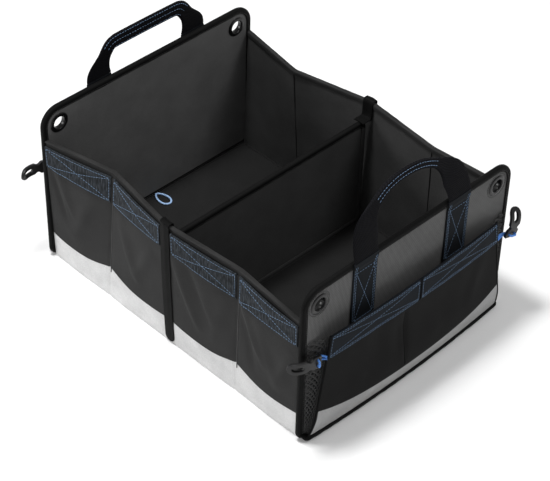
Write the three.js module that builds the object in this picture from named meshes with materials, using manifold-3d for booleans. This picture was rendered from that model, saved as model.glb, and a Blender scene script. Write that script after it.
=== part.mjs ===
// Folding cloth storage box for a car boot: two stiff end panels, two creased side walls,
// a divider, floor boards, sewn pockets, webbing handles and elastic hooks.
// Millimetres, +Z up, +X towards the front end panel, -Y towards the near side wall.
// The origin is on the ground, at the centre of the box.

import * as THREE from 'three';
import { mergeVertices } from 'three/addons/utils/BufferGeometryUtils.js';
import Module from 'manifold-3d';

const wasm = await Module();
wasm.setup();

// Overall box
const boxLength = 512;
const boxWidth = 400;
const panelHeight = 261;
const seatGap = 0.3;

// End panels: a board in a cloth cover, with a bound edge
const panelThickness = 5;
const panelTopRadius = 30;
const panelBottomRadius = 28;
const bindingWidth = 9;
const bindingCloth = 1.2;

// Side walls: two boards each side of a fold, leaning in at the fold
const wallThickness = 4;
const wallFootInset = 7;
const rimHeightAtPanel = 213;
const rimHeightAtDivider = 218;
const foldFromDivider = 130;
const rearFoldDepth = 24;
const frontFoldDepth = 12;
const rimBindingDepth = 6;
const rimBindingRound = 0.7;

// Floor and divider
const baseThickness = 3;
const floorBoardThickness = 3;
const floorBoardMargin = 4;
const dividerThickness = 5;
const dividerHeight = 192;
const dividerSideGap = 1.5;
const dividerCornerRadius = 14;
const dividerFootRadius = 11;

// Cloth pockets along the side walls
const pocketCloth = 1.3;
const pocketDrop = 8;
const pocketSlack = 3;
const pocketSlackShape = 0.8;
const pocketSlackAtFoot = 0.08;
const pocketSlackAtRim = 0.8;
const seamMargin = 14;
const hemCloth = 1.2;
const sideHemDepthAtEnds = 35;
const sideHemDepthAtFold = 43;
const hemEndGap = 3;
const paleBandTop = 46;
const paleBandScallop = 4;
const paleBandBottom = 1;

// Centre strap that holds the divider to each wall
const strapWidth = 18;
const strapCloth = 1.3;
const strapBottom = 3;
const strapTabLength = 18;

// Cloth pocket on the outside of each end panel
const endPocketHeight = 180;
const endHemDepth = 38;
const endPocketTopInset = 39;
const endPocketBottomInset = 10;
const endPocketFlareShape = 1.1;
const endPocketStand = 14;
const endPocketBulge = 5;
const endPocketBelly = 6;
const bellyHeight = 50;
const bellySpread = 40;
const paleStripTop = 45;
const paleStripBottom = 1.5;
const gussetCloth = 1;
const gussetFold = 16;
const gussetFoldAtFoot = 4;
const gussetTop = 172;
const gussetBottom = 10;
const gussetPanelInset = 9;

// Eyelets in the top corners of the end panels
const eyeletInset = 30;
const eyeletHoleRadius = 9.5;
const eyeletBarrelWall = 1.5;
const eyeletFlangeRadius = 15.5;
const eyeletFlange = 1.6;
const eyeletCrown = 1.5;
const eyeletEdgeRound = 1;
const eyeletEdgeDrop = 0.4;

// Webbing handles
const webbingWidth = 44;
const webbingCloth = 2;
const handleSpacing = 178;
const patchBottom = 157;
const patchStepRun = 4;
const patchStepRise = 1;
const gripFoldFrom = 0.4;
const gripFoldTo = 0.88;
const frontHandle = { rise: 78, fullness: 2.2, leanDegrees: 17, gripWidth: 14, gripThickness: 7 };
const rearHandle = { rise: 49, fullness: 3, leanDegrees: 0, gripWidth: 22, gripThickness: 4.4 };

// Moulded hooks on elastic cord at the top corners of the end pockets
const hookBelowPocketTop = 34;
const hookLength = 46;
const hookThickness = 4.5;
const hookBow = 3;
const hookLip = 9;
const hookRootHeight = 20;
const hookNeckHeight = 12;
const hookTabHeight = 18;
const hookSlotLength = 15;
const hookSlotHeight = 7;
const hookSlotWall = 5;
const hookRootLength = 11;
const hookShoulder = 6;
const cordDiameter = 3;
const cordHoleClearance = 1.1;
const cordHoleSpread = 5;
const cordLead = 8;
const cordLeadRolled = 16;
const hookPivotGap = 3.2;
const hookCordStart = -1.4;
const hookCordStartSpread = 1.7;

// How each hook hangs at rest: turned out from the panel, rolled upright, and led out on its cord
const hookRest = {
  frontNear: { turn: 0, roll: 0, lead: cordLead },
  frontFar: { turn: 25, roll: 80, lead: cordLeadRolled },
  rearNear: { turn: 27.1, roll: 0, lead: cordLead },
  rearFar: { turn: 20, roll: 0, lead: cordLead },
};

// Cord loop for lifting the rear floor board
const pullLoopLength = 30;
const pullLoopWidth = 20;
const pullLoopDiameter = 3;
const pullLoopFromPanel = 1;
const pullLoopTail = 0.5;
const pullLoopShape = 0.6;

// Values that follow from the sizes above
const halfLength = boxLength / 2;
const halfWidth = boxWidth / 2;
const bindingReach = bindingCloth + seatGap;
const insideEnd = halfLength - panelThickness - bindingReach - seatGap;
const pocketOffset = seatGap;
const hemOffset = pocketOffset + pocketCloth + seatGap;
const strapOffset = pocketOffset + pocketCloth + seatGap;
const endPocketHalfTop = halfWidth - endPocketTopInset;
const endPocketHalfBottom = halfWidth - endPocketBottomInset;
const gussetPanelEdge = halfWidth - gussetPanelInset;
const hookHeight = endPocketHeight - hookBelowPocketTop;
const hookWrap = THREE.MathUtils.degToRad(17);

const cloth = (name, color, roughness = 0.9) => {
  return new THREE.MeshStandardMaterial({ name, color, roughness, metalness: 0 });
};

const finish = {
  wall: cloth('wall_cloth', 0x3d3d3d),
  inner: cloth('lining_cloth', 0x2a2a2a),
  ribbed: cloth('ribbed_cloth', 0x5c5c5c, 0.8),
  binding: cloth('edge_binding', 0x181818, 0.75),
  hem: cloth('hem_cloth', 0x1d2229, 0.8),
  pale: cloth('pale_band_cloth', 0xcfcfcf, 0.75),
  webbing: cloth('webbing', 0x1b1b1c, 0.8),
  mesh: cloth('mesh_cloth', 0x262626, 0.85),
  board: cloth('floor_board_cloth', 0x242424),
  plastic: cloth('moulded_plastic', 0x1a1a1b, 0.45),
  eyelet: cloth('eyelet_plastic', 0x111112, 0.35),
  cord: cloth('elastic_cord', 0x3f7fd8, 0.7),
};

// Joins a solid's shared points and turns its faces outwards
function closedSolid(geometry) {
  const bare = geometry.index ? geometry.toNonIndexed() : geometry;
  const solid = new THREE.BufferGeometry();
  solid.setAttribute('position', bare.getAttribute('position'));
  const merged = mergeVertices(solid, 1e-4);
  const place = merged.getAttribute('position');
  const index = merged.getIndex().array;
  const kept = [];
  for (let i = 0; i < index.length; i += 3) {
    const [a, b, c] = [index[i], index[i + 1], index[i + 2]];
    if (a !== b && b !== c && c !== a) {
      kept.push(a, b, c);
    }
  }
  const corner = [new THREE.Vector3(), new THREE.Vector3(), new THREE.Vector3()];
  let volume = 0;
  for (let i = 0; i < kept.length; i += 3) {
    corner.forEach((point, k) => point.fromBufferAttribute(place, kept[i + k]));
    volume += corner[0].dot(corner[1].clone().cross(corner[2]));
  }
  if (volume < 0) {
    kept.reverse();
  }
  merged.setIndex(kept);
  return merged;
}

function toManifold(geometry) {
  const solid = closedSolid(geometry);
  return new wasm.Manifold(new wasm.Mesh({
    numProp: 3,
    vertProperties: new Float32Array(solid.getAttribute('position').array),
    triVerts: new Uint32Array(solid.getIndex().array),
  }));
}

function fromManifold(manifold) {
  const mesh = manifold.getMesh();
  const geometry = new THREE.BufferGeometry();
  geometry.setAttribute('position', new THREE.BufferAttribute(mesh.vertProperties, 3));
  geometry.setIndex(new THREE.BufferAttribute(mesh.triVerts, 1));
  return geometry;
}

// A solid that runs through a row of like sections; a closed row makes a ring
function loft(rings, outline, closed = false) {
  const count = outline.length;
  const points = rings.flat();
  const index = [];
  const last = closed ? rings.length : rings.length - 1;
  for (let i = 0; i < last; i += 1) {
    const here = i * count;
    const next = ((i + 1) % rings.length) * count;
    for (let j = 0; j < count; j += 1) {
      const k = (j + 1) % count;
      index.push(here + j, here + k, next + k, here + j, next + k, next + j);
    }
  }
  if (!closed) {
    const turn = THREE.ShapeUtils.area(outline) > 0 ? 1 : -1;
    const end = (rings.length - 1) * count;
    for (const face of THREE.ShapeUtils.triangulateShape(outline, [])) {
      const [a, b, c] = face;
      const area = THREE.ShapeUtils.area([outline[a], outline[b], outline[c]]);
      const [p, q, r] = area * turn > 0 ? [a, b, c] : [a, c, b];
      index.push(r, q, p, end + p, end + q, end + r);
    }
  }
  const geometry = new THREE.BufferGeometry();
  geometry.setFromPoints(points);
  geometry.setIndex(index);
  return closedSolid(geometry);
}

// A skin of even thickness between two grids of points over the same u and v steps
function skin(place, uSteps, vSteps, thickness) {
  const columns = [];
  for (let i = 0; i <= uSteps; i += 1) {
    const u = i / uSteps;
    const column = [];
    for (let j = 0; j <= vSteps; j += 1) {
      column.push(place(u, j / vSteps, 0));
    }
    for (let j = vSteps; j >= 0; j -= 1) {
      column.push(place(u, j / vSteps, thickness));
    }
    columns.push(column);
  }
  const outline = [];
  for (let j = 0; j <= vSteps; j += 1) {
    outline.push(new THREE.Vector2(j, 0));
  }
  for (let j = vSteps; j >= 0; j -= 1) {
    outline.push(new THREE.Vector2(j, 1));
  }
  return loft(columns, outline);
}

// A section swept along stations; section gives [offset, height] pairs at each station
function sweep(stations, section, place) {
  const rings = stations.map((s) => section(s).map(([offset, z]) => place(s, offset, z)));
  const outline = section(stations[0]).map(([offset, z]) => new THREE.Vector2(offset, z));
  return loft(rings, outline);
}

function steps(from, to, count) {
  return Array.from({ length: count + 1 }, (_, i) => from + ((to - from) * i) / count);
}

// Side wall surfaces
function foldInset(x) {
  const depth = x < 0 ? rearFoldDepth : frontFoldDepth;
  const reach = Math.abs(x);
  if (reach < foldFromDivider) {
    return (depth * reach) / foldFromDivider;
  }
  return (depth * (halfLength - reach)) / (halfLength - foldFromDivider);
}

function rimHeight(x) {
  const share = 1 - Math.abs(x) / halfLength;
  return rimHeightAtPanel + (rimHeightAtDivider - rimHeightAtPanel) * share;
}

function wallFace(x, z) {
  const rise = z / rimHeight(x);
  return halfWidth - bindingReach - wallFootInset * (1 - rise) - foldInset(x) * rise;
}

function onWall(side, x, offset, z) {
  return new THREE.Vector3(x, side * (wallFace(x, z) + offset), z);
}

// Sewn seams stand at the panels, the folds and the divider
const seams = [-insideEnd, -foldFromDivider, 0, foldFromDivider, insideEnd];

function pocketNumberAt(x) {
  const found = seams.findIndex((seam, i) => i > 0 && x <= seam) - 1;
  return Math.min(Math.max(found, 0), seams.length - 2);
}

// How far the loose cloth between two seams stands off the wall
function slackAt(x, z) {
  const number = pocketNumberAt(x);
  const from = seams[number] + seamMargin;
  const to = seams[number + 1] - seamMargin;
  const across = Math.sin(Math.PI * THREE.MathUtils.clamp((x - from) / (to - from), 0, 1));
  const turn = THREE.MathUtils.lerp(pocketSlackAtFoot, pocketSlackAtRim, z / rimHeight(x));
  return pocketSlack * Math.pow(across, pocketSlackShape) * Math.sin(Math.PI * turn);
}

function bandTop(x) {
  const number = pocketNumberAt(x);
  const share = (x - seams[number]) / (seams[number + 1] - seams[number]);
  return paleBandTop - paleBandScallop * Math.sin(Math.PI * THREE.MathUtils.clamp(share, 0, 1));
}

function sideHemDepth(x) {
  const inset = foldInset(x) / (x < 0 ? rearFoldDepth : frontFoldDepth);
  return sideHemDepthAtEnds + (sideHemDepthAtFold - sideHemDepthAtEnds) * inset;
}

function pocketTop(x) {
  return rimHeight(x) - pocketDrop;
}

// Stations from seam to seam, with one at each side of a seam where the loose cloth starts,
// so that every layer of a wall turns at the same places
function seamStations(countPerSpan, first = 0, last = seams.length - 1) {
  const stations = [seams[first]];
  for (let i = first + 1; i <= last; i += 1) {
    const loose = steps(seams[i - 1] + seamMargin, seams[i] - seamMargin, countPerSpan);
    stations.push(...loose, seams[i]);
  }
  return stations;
}

function sideWall(side) {
  const section = (x) => {
    const heights = steps(0, rimHeight(x) - bindingReach, 4);
    const outer = heights.map((z) => [0, z]);
    const inner = heights.map((z) => [-wallThickness, z]);
    return [...outer, ...inner.reverse()];
  };
  return sweep(seamStations(6), section, (x, offset, z) => onWall(side, x, offset, z));
}

// A cloth tape folded over the rim of a side wall
function rimBinding(side) {
  const out = bindingReach;
  const back = -wallThickness - bindingReach;
  const round = rimBindingRound;
  const section = (x) => {
    const top = rimHeight(x);
    const low = top - rimBindingDepth;
    return [[seatGap, low], [out, low], [out, top - round], [out - round, top],
      [back + round, top], [back, top - round], [back, low], [-wallThickness - seatGap, low],
      [-wallThickness - seatGap, top - bindingCloth], [seatGap, top - bindingCloth]];
  };
  return sweep(seamStations(1), section, (x, offset, z) => onWall(side, x, offset, z));
}

// One cloth that makes the two pockets of a compartment, sewn down at both ends and at the fold
function sidePocketCloth(side, compartment) {
  const middle = (seams.length - 1) / 2;
  const [first, last] = compartment < 0 ? [0, middle] : [middle, seams.length - 1];
  const stations = seamStations(6, first, last);
  stations[compartment < 0 ? stations.length - 1 : 0] = compartment * seatGap;
  const section = (x) => {
    const low = bandTop(x) + seatGap;
    const high = pocketTop(x) - hemCloth - seatGap;
    const heights = steps(low, high, 4);
    const inner = heights.map((z) => [pocketOffset + slackAt(x, z), z]);
    const outer = heights.map((z) => [pocketOffset + pocketCloth + slackAt(x, z), z]);
    return [...inner, ...outer.reverse()];
  };
  return sweep(stations, section, (x, offset, z) => onWall(side, x, offset, z));
}

// A facing sewn over the outside and the top edge of one pocket
function sideHem(side, number) {
  const edge = (seam) => (seam === 0 ? strapWidth / 2 + hemEndGap : hemEndGap);
  const from = seams[number] + (number === 0 ? seatGap : edge(seams[number]));
  const beyond = number === seams.length - 2 ? seatGap : edge(seams[number + 1]);
  const to = seams[number + 1] - beyond;
  const section = (x) => {
    const top = pocketTop(x);
    const low = top - sideHemDepth(x);
    const leaf = steps(low, top - hemCloth, 2);
    const inner = leaf.map((z) => [hemOffset + slackAt(x, z), z]);
    const outer = [...leaf, top].map((z) => [hemOffset + hemCloth + slackAt(x, z), z]);
    const lip = pocketOffset + slackAt(x, top);
    return [...inner, [lip, top - hemCloth], [lip, top], ...outer.reverse()];
  };
  const within = seamStations(6, number, number + 1).filter((x) => x > from + 1 && x < to - 1);
  return sweep([from, ...within, to], section, (x, offset, z) => onWall(side, x, offset, z));
}

// The pale cloth along the foot of a side wall
function paleBand(side) {
  const section = (x) => {
    const heights = steps(paleBandBottom, bandTop(x), 2);
    const inner = heights.map((z) => [pocketOffset + slackAt(x, z), z]);
    const outer = heights.map((z) => [pocketOffset + pocketCloth + slackAt(x, z), z]);
    return [...inner, ...outer.reverse()];
  };
  return sweep(seamStations(6), section, (x, offset, z) => onWall(side, x, offset, z));
}

// The strap up the middle of a wall, over its rim and down to the top of the divider
function centreStrap(side) {
  const radius = strapWidth / 2;
  const stations = steps(-1, 1, 6).map((s) => radius * Math.sin((s * Math.PI) / 2));
  const section = (x) => {
    const low = strapBottom + radius - Math.sqrt(Math.max(radius * radius - x * x, 0));
    const rim = rimHeight(x);
    const over = rim + seatGap;
    const inside = -wallThickness - bindingReach - seatGap;
    const tabUnder = dividerHeight + seatGap;
    const outer = strapOffset + strapCloth;
    const back = inside - strapCloth;
    return [[strapOffset, low], [outer, low], [outer, over + strapCloth], [back, over + strapCloth],
      [back, tabUnder + strapCloth], [inside - strapTabLength, tabUnder + strapCloth],
      [inside - strapTabLength, tabUnder], [inside, tabUnder], [inside, over],
      [strapOffset, over]];
  };
  return sweep(stations, section, (x, offset, z) => onWall(side, x, offset, z));
}

// A panel outline in its own plane, drawn in by an even inset
function panelOutline(width, low, high, topRadius, bottomRadius, inset) {
  const half = width / 2 - inset;
  const top = high - inset;
  const foot = low + inset;
  const upper = topRadius - inset;
  const lower = bottomRadius - inset;
  const shape = new THREE.Shape();
  shape.moveTo(-half + lower, foot);
  shape.lineTo(half - lower, foot);
  shape.absarc(half - lower, foot + lower, lower, -Math.PI / 2, 0, false);
  shape.lineTo(half, top - upper);
  shape.absarc(half - upper, top - upper, upper, 0, Math.PI / 2, false);
  shape.lineTo(-half + upper, top);
  shape.absarc(-half + upper, top - upper, upper, Math.PI / 2, Math.PI, false);
  shape.lineTo(-half, foot + lower);
  shape.absarc(-half + lower, foot + lower, lower, Math.PI, Math.PI * 1.5, false);
  return shape;
}

// Sets an outline upright across the box, from one X to another
function upright(shape, fromX, toX, bevel = 0, curveSegments = 4) {
  const geometry = new THREE.ExtrudeGeometry(shape, {
    depth: toX - fromX - 2 * bevel,
    curveSegments,
    bevelEnabled: bevel > 0,
    bevelThickness: bevel,
    bevelSize: bevel,
    bevelOffset: -bevel,
    bevelSegments: 1,
  });
  geometry.translate(0, 0, fromX + bevel);
  const stand = new THREE.Matrix4().makeBasis(
    new THREE.Vector3(0, 1, 0),
    new THREE.Vector3(0, 0, 1),
    new THREE.Vector3(1, 0, 0),
  );
  geometry.applyMatrix4(stand);
  return geometry;
}

// A tape folded round all of a panel's edge: a ring with a slot for the board
function edgeBinding(outlineAt, boardFrom, boardTo) {
  const ring = outlineAt(0);
  ring.holes.push(outlineAt(bindingWidth));
  const bevel = bindingCloth / 2;
  const outer = toManifold(upright(ring, boardFrom - bindingReach, boardTo + bindingReach, bevel));
  const slot = toManifold(upright(outlineAt(bindingCloth), boardFrom - seatGap, boardTo + seatGap));
  return closedSolid(fromManifold(outer.subtract(slot)));
}

const eyeletBarrelRadius = eyeletHoleRadius + eyeletBarrelWall;
const eyeletAcross = halfWidth - eyeletInset;
const eyeletHeight = panelHeight - eyeletInset;

const endOutline = (inset) => {
  return panelOutline(boxWidth, 0, panelHeight, panelTopRadius, panelBottomRadius, inset);
};

// Ends share one form: end is 1 at the front and -1 at the rear
function fromEnd(end, near, far) {
  return end > 0 ? [halfLength + near, halfLength + far] : [-halfLength - far, -halfLength - near];
}

function endPanel(end) {
  const shape = endOutline(bindingReach);
  for (const side of [-1, 1]) {
    const hole = new THREE.Path();
    hole.absarc(side * eyeletAcross, eyeletHeight, eyeletBarrelRadius + seatGap, 0, 2 * Math.PI);
    shape.holes.push(hole);
  }
  const [from, to] = fromEnd(end, -panelThickness, 0);
  return closedSolid(upright(shape, from, to, 0, 8));
}

function endBinding(end) {
  const [from, to] = fromEnd(end, -panelThickness, 0);
  return edgeBinding(endOutline, from, to);
}

// A pressed eyelet: a barrel through the board with a domed flange on each face
function eyelet(end, side) {
  const inner = panelThickness / 2 + seatGap;
  const outer = inner + eyeletFlange;
  const half = [[eyeletBarrelRadius, inner], [eyeletFlangeRadius, inner],
    [eyeletFlangeRadius - eyeletEdgeRound, outer - eyeletEdgeDrop],
    [eyeletHoleRadius + eyeletCrown, outer], [eyeletHoleRadius, outer - eyeletEdgeRound]];
  const profile = [...half, ...half.map(([r, a]) => [r, -a]).reverse()];
  profile.push(profile[0]);
  const points = profile.map(([r, a]) => new THREE.Vector2(r, a));
  const geometry = new THREE.LatheGeometry(points, 12);
  geometry.rotateZ(-Math.PI / 2);
  const middle = end * (halfLength - panelThickness / 2);
  geometry.translate(middle, side * eyeletAcross, eyeletHeight);
  return closedSolid(geometry);
}

// The cloth pocket on an end panel
function endPocketHalf(z) {
  const fall = Math.pow(1 - Math.min(z / endPocketHeight, 1), endPocketFlareShape);
  return endPocketHalfTop + (endPocketHalfBottom - endPocketHalfTop) * fall;
}

function endPocketFace(y, z) {
  const belly = endPocketBelly * Math.exp(-Math.pow((z - bellyHeight) / bellySpread, 2));
  const across = 1 - Math.pow(y / endPocketHalf(z), 2);
  return endPocketStand + (endPocketBulge + belly) * across;
}

function onEnd(end, y, offset, z) {
  return new THREE.Vector3(end * (halfLength + offset), y, z);
}

function endPocketCloth(end) {
  const low = paleStripTop + seatGap;
  const high = endPocketHeight - hemCloth - seatGap;
  const place = (u, v, offset) => {
    const z = THREE.MathUtils.lerp(low, high, v);
    const y = (2 * u - 1) * endPocketHalf(z);
    return onEnd(end, y, endPocketFace(y, z) + offset, z);
  };
  return skin(place, 10, 4, pocketCloth);
}

// A facing sewn over the outside and the top edge of the end pocket
function endHem(end) {
  const section = (share) => {
    const leaf = steps(endPocketHeight - endHemDepth, endPocketHeight - hemCloth, 2);
    const face = (z) => endPocketFace(share * endPocketHalf(z), z);
    const inner = leaf.map((z) => [face(z) + pocketCloth + seatGap, z]);
    const facing = pocketCloth + seatGap + hemCloth;
    const outer = [...leaf, endPocketHeight].map((z) => [face(z) + facing, z]);
    const lip = face(endPocketHeight);
    return [...inner, [lip, endPocketHeight - hemCloth], [lip, endPocketHeight], ...outer.reverse()];
  };
  const place = (share, offset, z) => onEnd(end, share * endPocketHalf(z), offset, z);
  return sweep(steps(-1, 1, 12), section, place);
}

// How far the foot of the pocket lifts to follow the panel's rounded lower corner
function cornerLift(y) {
  const past = Math.max(Math.abs(y) - (halfWidth - panelBottomRadius), 0);
  return panelBottomRadius - Math.sqrt(panelBottomRadius ** 2 - past ** 2);
}

// The pale foot of the end pocket: it turns under and runs back to the panel
function endPaleStrip(end) {
  const section = (share) => {
    const low = paleStripBottom + cornerLift(share * endPocketHalfBottom);
    const heights = steps(low + pocketCloth, paleStripTop, 3);
    const face = (z) => endPocketFace(share * endPocketHalf(z), z);
    const inner = heights.map((z) => [face(z), z]);
    const outer = [low, ...heights.slice(1)].map((z) => [face(z) + pocketCloth, z]);
    const back = bindingReach + seatGap;
    return [[back, low], [back, low + pocketCloth], ...inner, ...outer.reverse()];
  };
  const place = (share, offset, z) => onEnd(end, share * endPocketHalf(z), offset, z);
  return sweep(steps(-1, 1, 12), section, place);
}

// The mesh side of the end pocket: a cloth folded inwards like a bellows
function gusset(end, side) {
  const onBoard = bindingReach + seatGap;
  const section = (z) => {
    const half = endPocketHalf(z);
    const edge = endPocketFace(half, z) - seatGap;
    const rise = (z - gussetBottom) / (gussetTop - gussetBottom);
    const fold = THREE.MathUtils.lerp(gussetFoldAtFoot, gussetFold, rise);
    const valley = [(onBoard + edge) / 2, half - fold];
    const lip = [edge, half - seatGap];
    const lipBack = [edge - gussetCloth, half - seatGap];
    const root = [onBoard + gussetCloth, gussetPanelEdge];
    const rootBack = [onBoard, gussetPanelEdge];
    const valleyIn = [valley[0], valley[1] - 2 * gussetCloth];
    return [rootBack, root, valley, lipBack, lip, valleyIn];
  };
  const rings = steps(gussetBottom, gussetTop, 6).map((z) => {
    return section(z).map(([offset, y]) => onEnd(end, side * y, offset, z));
  });
  const outline = section(gussetTop).map(([offset, y]) => new THREE.Vector2(offset, y));
  return loft(rings, outline);
}

// The sewn-down foot of a handle leg, which steps out over the panel's edge binding
function handlePatch(end, side) {
  const step = bindingReach + seatGap;
  const bindingFoot = panelHeight - bindingWidth;
  const profile = [[seatGap, patchBottom], [seatGap + webbingCloth, patchBottom],
    [seatGap + webbingCloth, bindingFoot - patchStepRun],
    [step + webbingCloth, bindingFoot + patchStepRise],
    [step + webbingCloth, panelHeight], [step, panelHeight], [step, bindingFoot - seatGap],
    [seatGap, bindingFoot - patchStepRun + patchStepRise]];
  const middle = (side * handleSpacing) / 2;
  const stations = [middle - webbingWidth / 2, middle + webbingWidth / 2];
  return sweep(stations, () => profile, (y, offset, z) => onEnd(end, y, offset, z));
}

// The hinge line of a handle runs along the top of its sewn feet
const handleHinge = bindingReach + seatGap + webbingCloth / 2;
const handleHingeHeight = panelHeight + seatGap + webbingCloth / 2;

// The free loop of a handle: flat webbing at the legs, folded narrow and thick at the grip,
// with a rolled lower edge so that it turns clear of its feet
function handleLoop(end, form) {
  const lean = THREE.MathUtils.degToRad(form.leanDegrees);
  const half = handleSpacing / 2;
  const power = 2 / form.fullness;
  const pathAt = (angle) => {
    const across = half * Math.sign(Math.cos(angle)) * Math.pow(Math.abs(Math.cos(angle)), power);
    return new THREE.Vector2(across, form.rise * Math.pow(Math.max(Math.sin(angle), 0), power));
  };
  const ring = (centre, across, wide, deep) => {
    const corners = [[-wide, -deep], [wide, -deep], [wide, deep], [-wide, deep]];
    return corners.map(([w, d]) => {
      const rise = Math.max(centre.y + across.y * w, Math.min(centre.y, 0));
      const x = handleHinge - Math.sin(lean) * rise + Math.cos(lean) * d;
      const z = handleHingeHeight + Math.cos(lean) * rise + Math.sin(lean) * d;
      return onEnd(end, centre.x + across.x * w, x, z);
    });
  };
  const angles = steps(0, Math.PI, 16).map((angle) => angle + 0.12 * Math.sin(2 * angle));
  const rings = angles.map((angle, i) => {
    const here = pathAt(angle);
    const before = pathAt(angles[Math.max(i - 1, 0)]);
    const after = pathAt(angles[Math.min(i + 1, angles.length - 1)]);
    const along = after.clone().sub(before).normalize();
    if (i === 0 || i === angles.length - 1) {
      along.set(0, i === 0 ? 1 : -1);
    }
    const across = new THREE.Vector2(-along.y, along.x);
    const folded = THREE.MathUtils.smoothstep(here.y / form.rise, gripFoldFrom, gripFoldTo);
    const wide = THREE.MathUtils.lerp(webbingWidth, form.gripWidth, folded) / 2;
    const deep = THREE.MathUtils.lerp(webbingCloth, form.gripThickness, folded) / 2;
    return ring(here, across, wide, deep);
  });
  for (const degrees of [36, 72]) {
    const round = THREE.MathUtils.degToRad(degrees);
    const drop = (-webbingCloth / 2) * Math.sin(round);
    const deep = (webbingCloth / 2) * Math.cos(round);
    const first = new THREE.Vector2(half, drop);
    const last = new THREE.Vector2(-half, drop);
    rings.unshift(ring(first, new THREE.Vector2(-1, 0), webbingWidth / 2, deep));
    rings.push(ring(last, new THREE.Vector2(1, 0), webbingWidth / 2, deep));
  }
  const outline = [[-1, -1], [1, -1], [1, 1], [-1, 1]].map(([a, b]) => new THREE.Vector2(a, b));
  return loft(rings, outline);
}

// Where a hook's elastic leaves the pocket corner, for the near and far side of each end
function hookPivot(end, side) {
  const across = endPocketHalf(hookHeight) + hookPivotGap;
  const out = endPocketFace(endPocketHalf(hookHeight), hookHeight) + pocketCloth;
  return new THREE.Vector3(end * (halfLength + out), side * across, hookHeight);
}

// A hook frame: u away from the pivot, v away from the box, z up
function hookFrame(end, side, turnDegrees) {
  const wrap = hookWrap;
  const along = new THREE.Vector3(-end * Math.sin(wrap), side * Math.cos(wrap), 0);
  const out = new THREE.Vector3(end * Math.cos(wrap), side * Math.sin(wrap), 0);
  const turn = THREE.MathUtils.degToRad(turnDegrees);
  const u = along.clone().multiplyScalar(Math.cos(turn)).addScaledVector(out, Math.sin(turn));
  const v = out.clone().multiplyScalar(Math.cos(turn)).addScaledVector(along, -Math.sin(turn));
  const frame = new THREE.Matrix4().makeBasis(u, v, new THREE.Vector3(0, 0, 1));
  return frame.setPosition(hookPivot(end, side));
}

// A hook seen from above: a bowed strip whose lip turns back towards the box
function hookPlan() {
  const spine = [[-0.02, 0], [0.3, hookBow * 0.8], [0.6, hookBow], [0.82, 0], [1, hookBow - hookLip]];
  const points = spine.map(([share, out]) => new THREE.Vector3(hookLength * share, out, 0));
  const bow = new THREE.CatmullRomCurve3(points);
  const run = bow.getPoints(10);
  const face = (sign) => run.map((point, i) => {
    const along = bow.getTangent(i / (run.length - 1));
    const reach = (sign * hookThickness) / 2;
    return new THREE.Vector2(point.x - along.y * reach, point.y + along.x * reach);
  });
  const plan = new THREE.Shape([...face(1), ...face(-1).reverse()]);
  const depth = 2 * hookRootHeight;
  const solid = new THREE.ExtrudeGeometry(plan, { depth, bevelEnabled: false });
  return solid.translate(0, 0, -hookRootHeight);
}

// A hook seen from its side: a root with two cord holes, a neck, and a round tab with a slot
function hookSide() {
  const neckFrom = hookRootLength + hookShoulder;
  const tabFrom = neckFrom + hookShoulder;
  const tabCentre = hookLength - hookTabHeight / 2;
  const [root, neck, tab] = [hookRootHeight / 2, hookNeckHeight / 2, hookTabHeight / 2];
  const face = new THREE.Shape();
  face.moveTo(0, -root);
  face.lineTo(hookRootLength, -root);
  face.quadraticCurveTo(hookRootLength + hookShoulder / 2, -neck, neckFrom, -neck);
  face.quadraticCurveTo(neckFrom + hookShoulder / 2, -tab, tabFrom, -tab);
  face.lineTo(tabCentre, -tab);
  face.absarc(tabCentre, 0, tab, -Math.PI / 2, Math.PI / 2, false);
  face.lineTo(tabFrom, tab);
  face.quadraticCurveTo(neckFrom + hookShoulder / 2, tab, neckFrom, neck);
  face.quadraticCurveTo(hookRootLength + hookShoulder / 2, neck, hookRootLength, root);
  face.lineTo(0, root);
  face.closePath();
  const slotRadius = hookSlotHeight / 2;
  const slotTo = hookLength - hookSlotWall - slotRadius;
  const slotFrom = slotTo - hookSlotLength + hookSlotHeight;
  const slot = new THREE.Path();
  slot.absarc(slotTo, 0, slotRadius, -Math.PI / 2, Math.PI / 2, false);
  slot.absarc(slotFrom, 0, slotRadius, Math.PI / 2, Math.PI * 1.5, false);
  slot.closePath();
  face.holes.push(slot);
  for (const sign of [-1, 1]) {
    const hole = new THREE.Path();
    const radius = cordDiameter / 2 + cordHoleClearance;
    hole.absarc(hookRootLength / 2, sign * cordHoleSpread, radius, 0, 2 * Math.PI);
    face.holes.push(hole);
  }
  const depth = 2 * hookLength;
  const solid = new THREE.ExtrudeGeometry(face, { depth, bevelEnabled: false, curveSegments: 4 });
  return solid.translate(0, 0, -hookLength).rotateX(Math.PI / 2);
}

// The moulded hook, rolled about its cord holes and led out along its elastic
function hook(end, side, rest) {
  const solid = fromManifold(toManifold(hookPlan()).intersect(toManifold(hookSide())));
  solid.translate(-hookRootLength / 2, 0, 0);
  solid.rotateY(-THREE.MathUtils.degToRad(rest.roll));
  solid.translate(hookRootLength / 2 + rest.lead, 0, 0);
  solid.applyMatrix4(hookFrame(end, side, rest.turn));
  return closedSolid(solid);
}

// A round bar along a curve, with its section kept level
function bar(curve, diameter, sides, count, closed = false) {
  const outline = [];
  for (let i = 0; i < sides; i += 1) {
    const angle = (2 * Math.PI * i) / sides;
    outline.push(new THREE.Vector2(Math.cos(angle), Math.sin(angle)).multiplyScalar(diameter / 2));
  }
  const frames = curve.computeFrenetFrames(count, closed);
  const rings = [];
  for (let i = 0; i < count + (closed ? 0 : 1); i += 1) {
    const centre = curve.getPointAt(i / count);
    const [across, up] = [frames.normals[i], frames.binormals[i]];
    rings.push(outline.map((p) => {
      return centre.clone().addScaledVector(across, p.x).addScaledVector(up, p.y);
    }));
  }
  return loft(rings, outline, closed);
}

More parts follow.
